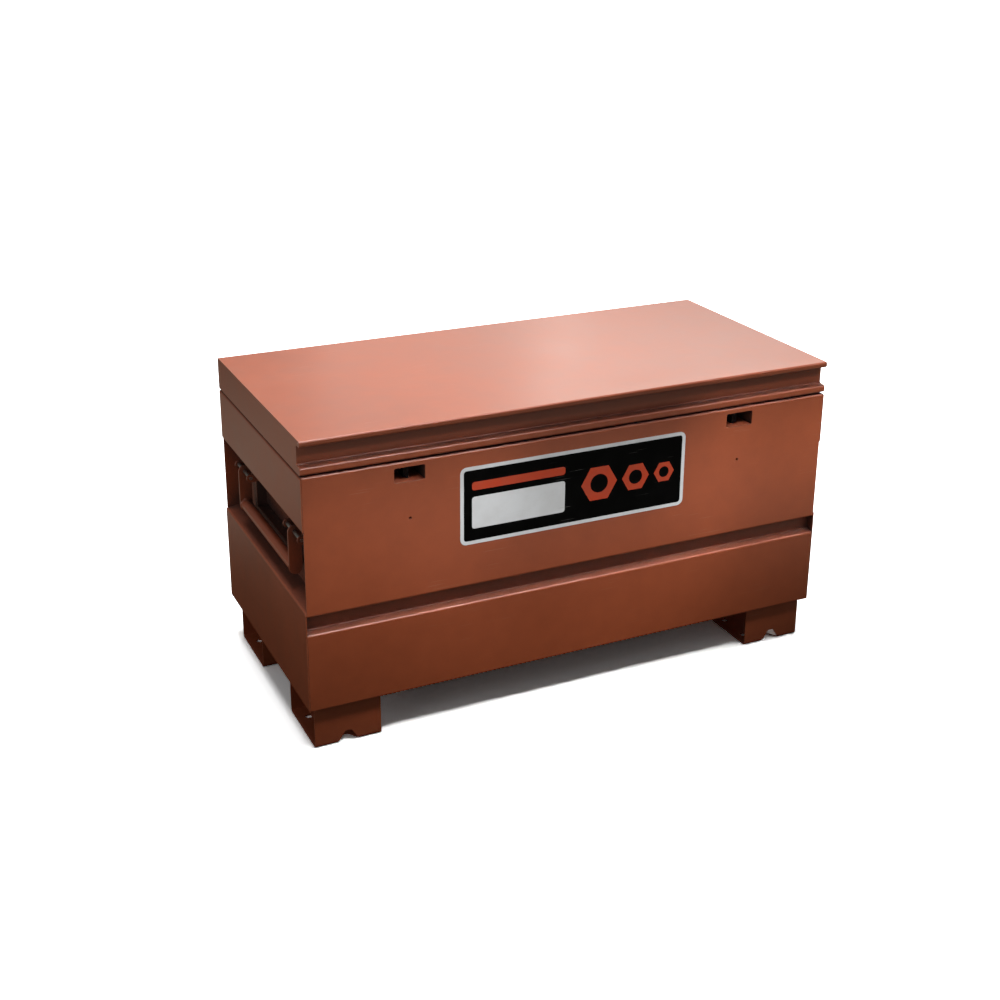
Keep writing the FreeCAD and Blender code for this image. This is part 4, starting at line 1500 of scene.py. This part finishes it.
@dataclass
class Studio:
    """A white floor and backdrop, an overhead sun, softboxes and the camera."""

    floor_reach: float = 60.0
    floor_colour: Colour = (2.4, 2.4, 2.4, 1.0)
    floor_roughness: float = 0.9
    near_bounce: Colour = (0.040, 0.034, 0.024, 1.0)
    far_bounce: Colour = (0.34, 0.32, 0.265, 1.0)
    edge_bounce: Colour = (0.15, 0.14, 0.115, 1.0)
    bounce_reach: Flat = (0.85, 1.6)
    edge_reach: Flat = (1.7, 3.0)
    sun_strength: float = 1.7
    sun_angle: float = 24.0
    sun_elevation: float = 89.0
    sun_azimuth: float = 25.0
    sky: float = 0.11
    strips: tuple[FrontStrip, ...] = (
        FrontStrip("left_high_strip", -0.26, 0.48, 0.155, 24.0),
        FrontStrip("right_high_strip", 0.68, 0.48, 0.265, 24.0),
        FrontStrip("left_low_strip", -0.26, 0.16, 0.302, 40.0),
        FrontStrip("middle_low_strip", 0.22, 0.16, 0.500, 40.0),
        FrontStrip("right_low_strip", 0.68, 0.16, 0.094, 40.0),
    )
    softboxes: tuple[Softbox, ...] = (
        Softbox("front_reflector", (0.45, -1.15, 0.02), (0.45, -1.15, 1.0), 1.2, 0.6, 0.42),
        Softbox("top_box", (0.0, 0.05, 2.0), (0.0, 0.05, 0.68), 1.2, 0.5, 12.0),
        Softbox("top_left_box", (-0.5, 0.0, 1.6), (-0.4, 0.0, 0.68), 0.5, 0.3, 2.6),
        Softbox("left_box", (-2.0, -0.5, 0.85), (-0.6, 0.0, 0.45), 1.2, 0.6, 2.6),
        Softbox("rear_right_card", (2.6, 2.9, 2.4), (0.4, 0.0, 0.68), 2.0, 1.3, 26.0, colour=WARM_CARD),
        Softbox("rear_middle_card", (1.2, 3.2, 1.9), (0.0, 0.0, 0.68), 1.2, 1.7, 7.2, colour=WARM_CARD),
        Softbox("rear_left_card", (0.1, 3.2, 1.7), (-0.4, 0.0, 0.68), 1.2, 1.7, 2.9, colour=WARM_CARD),
    )
    camera_place: Place = (-1.3737, -2.7796, 1.6564)
    camera_yaw: float = 25.44
    camera_pitch: float = -19.482
    camera_roll: float = 0.423
    focal_pixels: float = 1466.2
    lens_shift: float = -0.0908
    image_pixels: float = 1000.0
    sensor: float = 36.0

    def set_up(self) -> None:
        """Lay the floor, light it and place the camera."""
        self.lay_floor()
        self.hang_sky()
        self.hang_sun()
        for softbox in [strip.softbox() for strip in self.strips] + list(self.softboxes):
            softbox.hang()
        self.place_camera()
        view = bpy.context.scene.view_settings
        view.view_transform = "Standard"
        view.look = "None"

    def lay_floor(self) -> None:
        """A wide floor, white to the camera, that throws little light back at the box."""
        reach = self.floor_reach
        mesh = bpy.data.meshes.new("studio_floor")
        corners = [(-reach, -reach, 0), (reach, -reach, 0), (reach, reach, 0), (-reach, reach, 0)]
        mesh.from_pydata(corners, [], [(0, 1, 2, 3)])
        material = bpy.data.materials.new("studio_floor")
        material.use_nodes = True
        sheet = NodeSheet(material.node_tree)
        shader = material.node_tree.nodes["Principled BSDF"]
        away = sheet.add("ShaderNodeVectorMath", {0: sheet.place()}, operation="LENGTH").outputs["Value"]
        bounce = sheet.tint(sheet.span(away, *self.bounce_reach), self.near_bounce, self.far_bounce)
        bounce = sheet.tint(sheet.span(away, *self.edge_reach), bounce, self.edge_bounce)
        seen = sheet.add("ShaderNodeLightPath").outputs["Is Camera Ray"]
        sheet.feed(shader.inputs["Base Color"], sheet.tint(seen, bounce, self.floor_colour))
        shader.inputs["Roughness"].default_value = self.floor_roughness
        shader.inputs["Specular IOR Level"].default_value = 0.0
        mesh.materials.append(material)
        floor = put("studio_floor", mesh)

    def hang_sky(self) -> None:
        """Dim even light from all round, behind a backdrop that the camera sees as white."""
        world = bpy.data.worlds.new("studio_sky")
        world.use_nodes = True
        bpy.context.scene.world = world
        sheet = NodeSheet(world.node_tree)
        seen = sheet.add("ShaderNodeLightPath").outputs["Is Camera Ray"]
        background = world.node_tree.nodes["Background"]
        background.inputs["Color"].default_value = (1.0, 1.0, 1.0, 1.0)
        sheet.feed(background.inputs["Strength"], sheet.sums(Step.LARGER, seen, self.sky))

    def hang_sun(self) -> None:
        """A wide soft sun from almost straight above, which lights the whole floor alike."""
        lamp = bpy.data.lights.new("soft_sun", "SUN")
        lamp.energy = self.sun_strength
        lamp.angle = math.radians(self.sun_angle)
        rise, turn = math.radians(self.sun_elevation), math.radians(self.sun_azimuth)
        level = Vector((math.sin(turn), -math.cos(turn), 0))
        towards = level * math.cos(rise) + Z_AXIS * math.sin(rise)
        put("soft_sun", lamp).rotation_euler = (-towards).to_track_quat("-Z", "Y").to_euler()

    def place_camera(self) -> None:
        """Put the camera where the photograph was taken from."""
        angles = (self.camera_yaw, self.camera_pitch, self.camera_roll)
        yaw, pitch, roll = map(math.radians, angles)
        level = Vector((math.sin(yaw), math.cos(yaw), 0))
        ahead = level * math.cos(pitch) + Z_AXIS * math.sin(pitch)
        right = Vector((math.cos(yaw), -math.sin(yaw), 0))
        up = right.cross(ahead)
        right, up = (
            right * math.cos(roll) + up * math.sin(roll), up * math.cos(roll) - right * math.sin(roll))
        lens = bpy.data.cameras.new("photo_camera")
        lens.sensor_width = self.sensor
        lens.lens = self.focal_pixels / self.image_pixels * self.sensor
        lens.shift_y = self.lens_shift
        lens.clip_end = 4 * self.floor_reach
        camera = put("photo_camera", lens)
        turn = Matrix((right, up, -ahead)).transposed().to_4x4()
        camera.matrix_world = Matrix.Translation(self.camera_place) @ turn
        bpy.context.scene.camera = camera


def main() -> None:
    """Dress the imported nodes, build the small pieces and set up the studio."""
    logging.basicConfig(level=logging.INFO, format="%(name)s: %(message)s")
    assemblies: tuple[SubAssembly, ...] = (
        ChestShell(), ChannelFeet(), RibbedLid(), LongHinge(), RecessedLocks(), DropHandles(),
        LidStays(), RubberStops(), FrontLabel())
    for assembly in assemblies:
        assembly.dress()
        assembly.build()
    Studio().set_up()


if __name__ == "__main__":
    main()
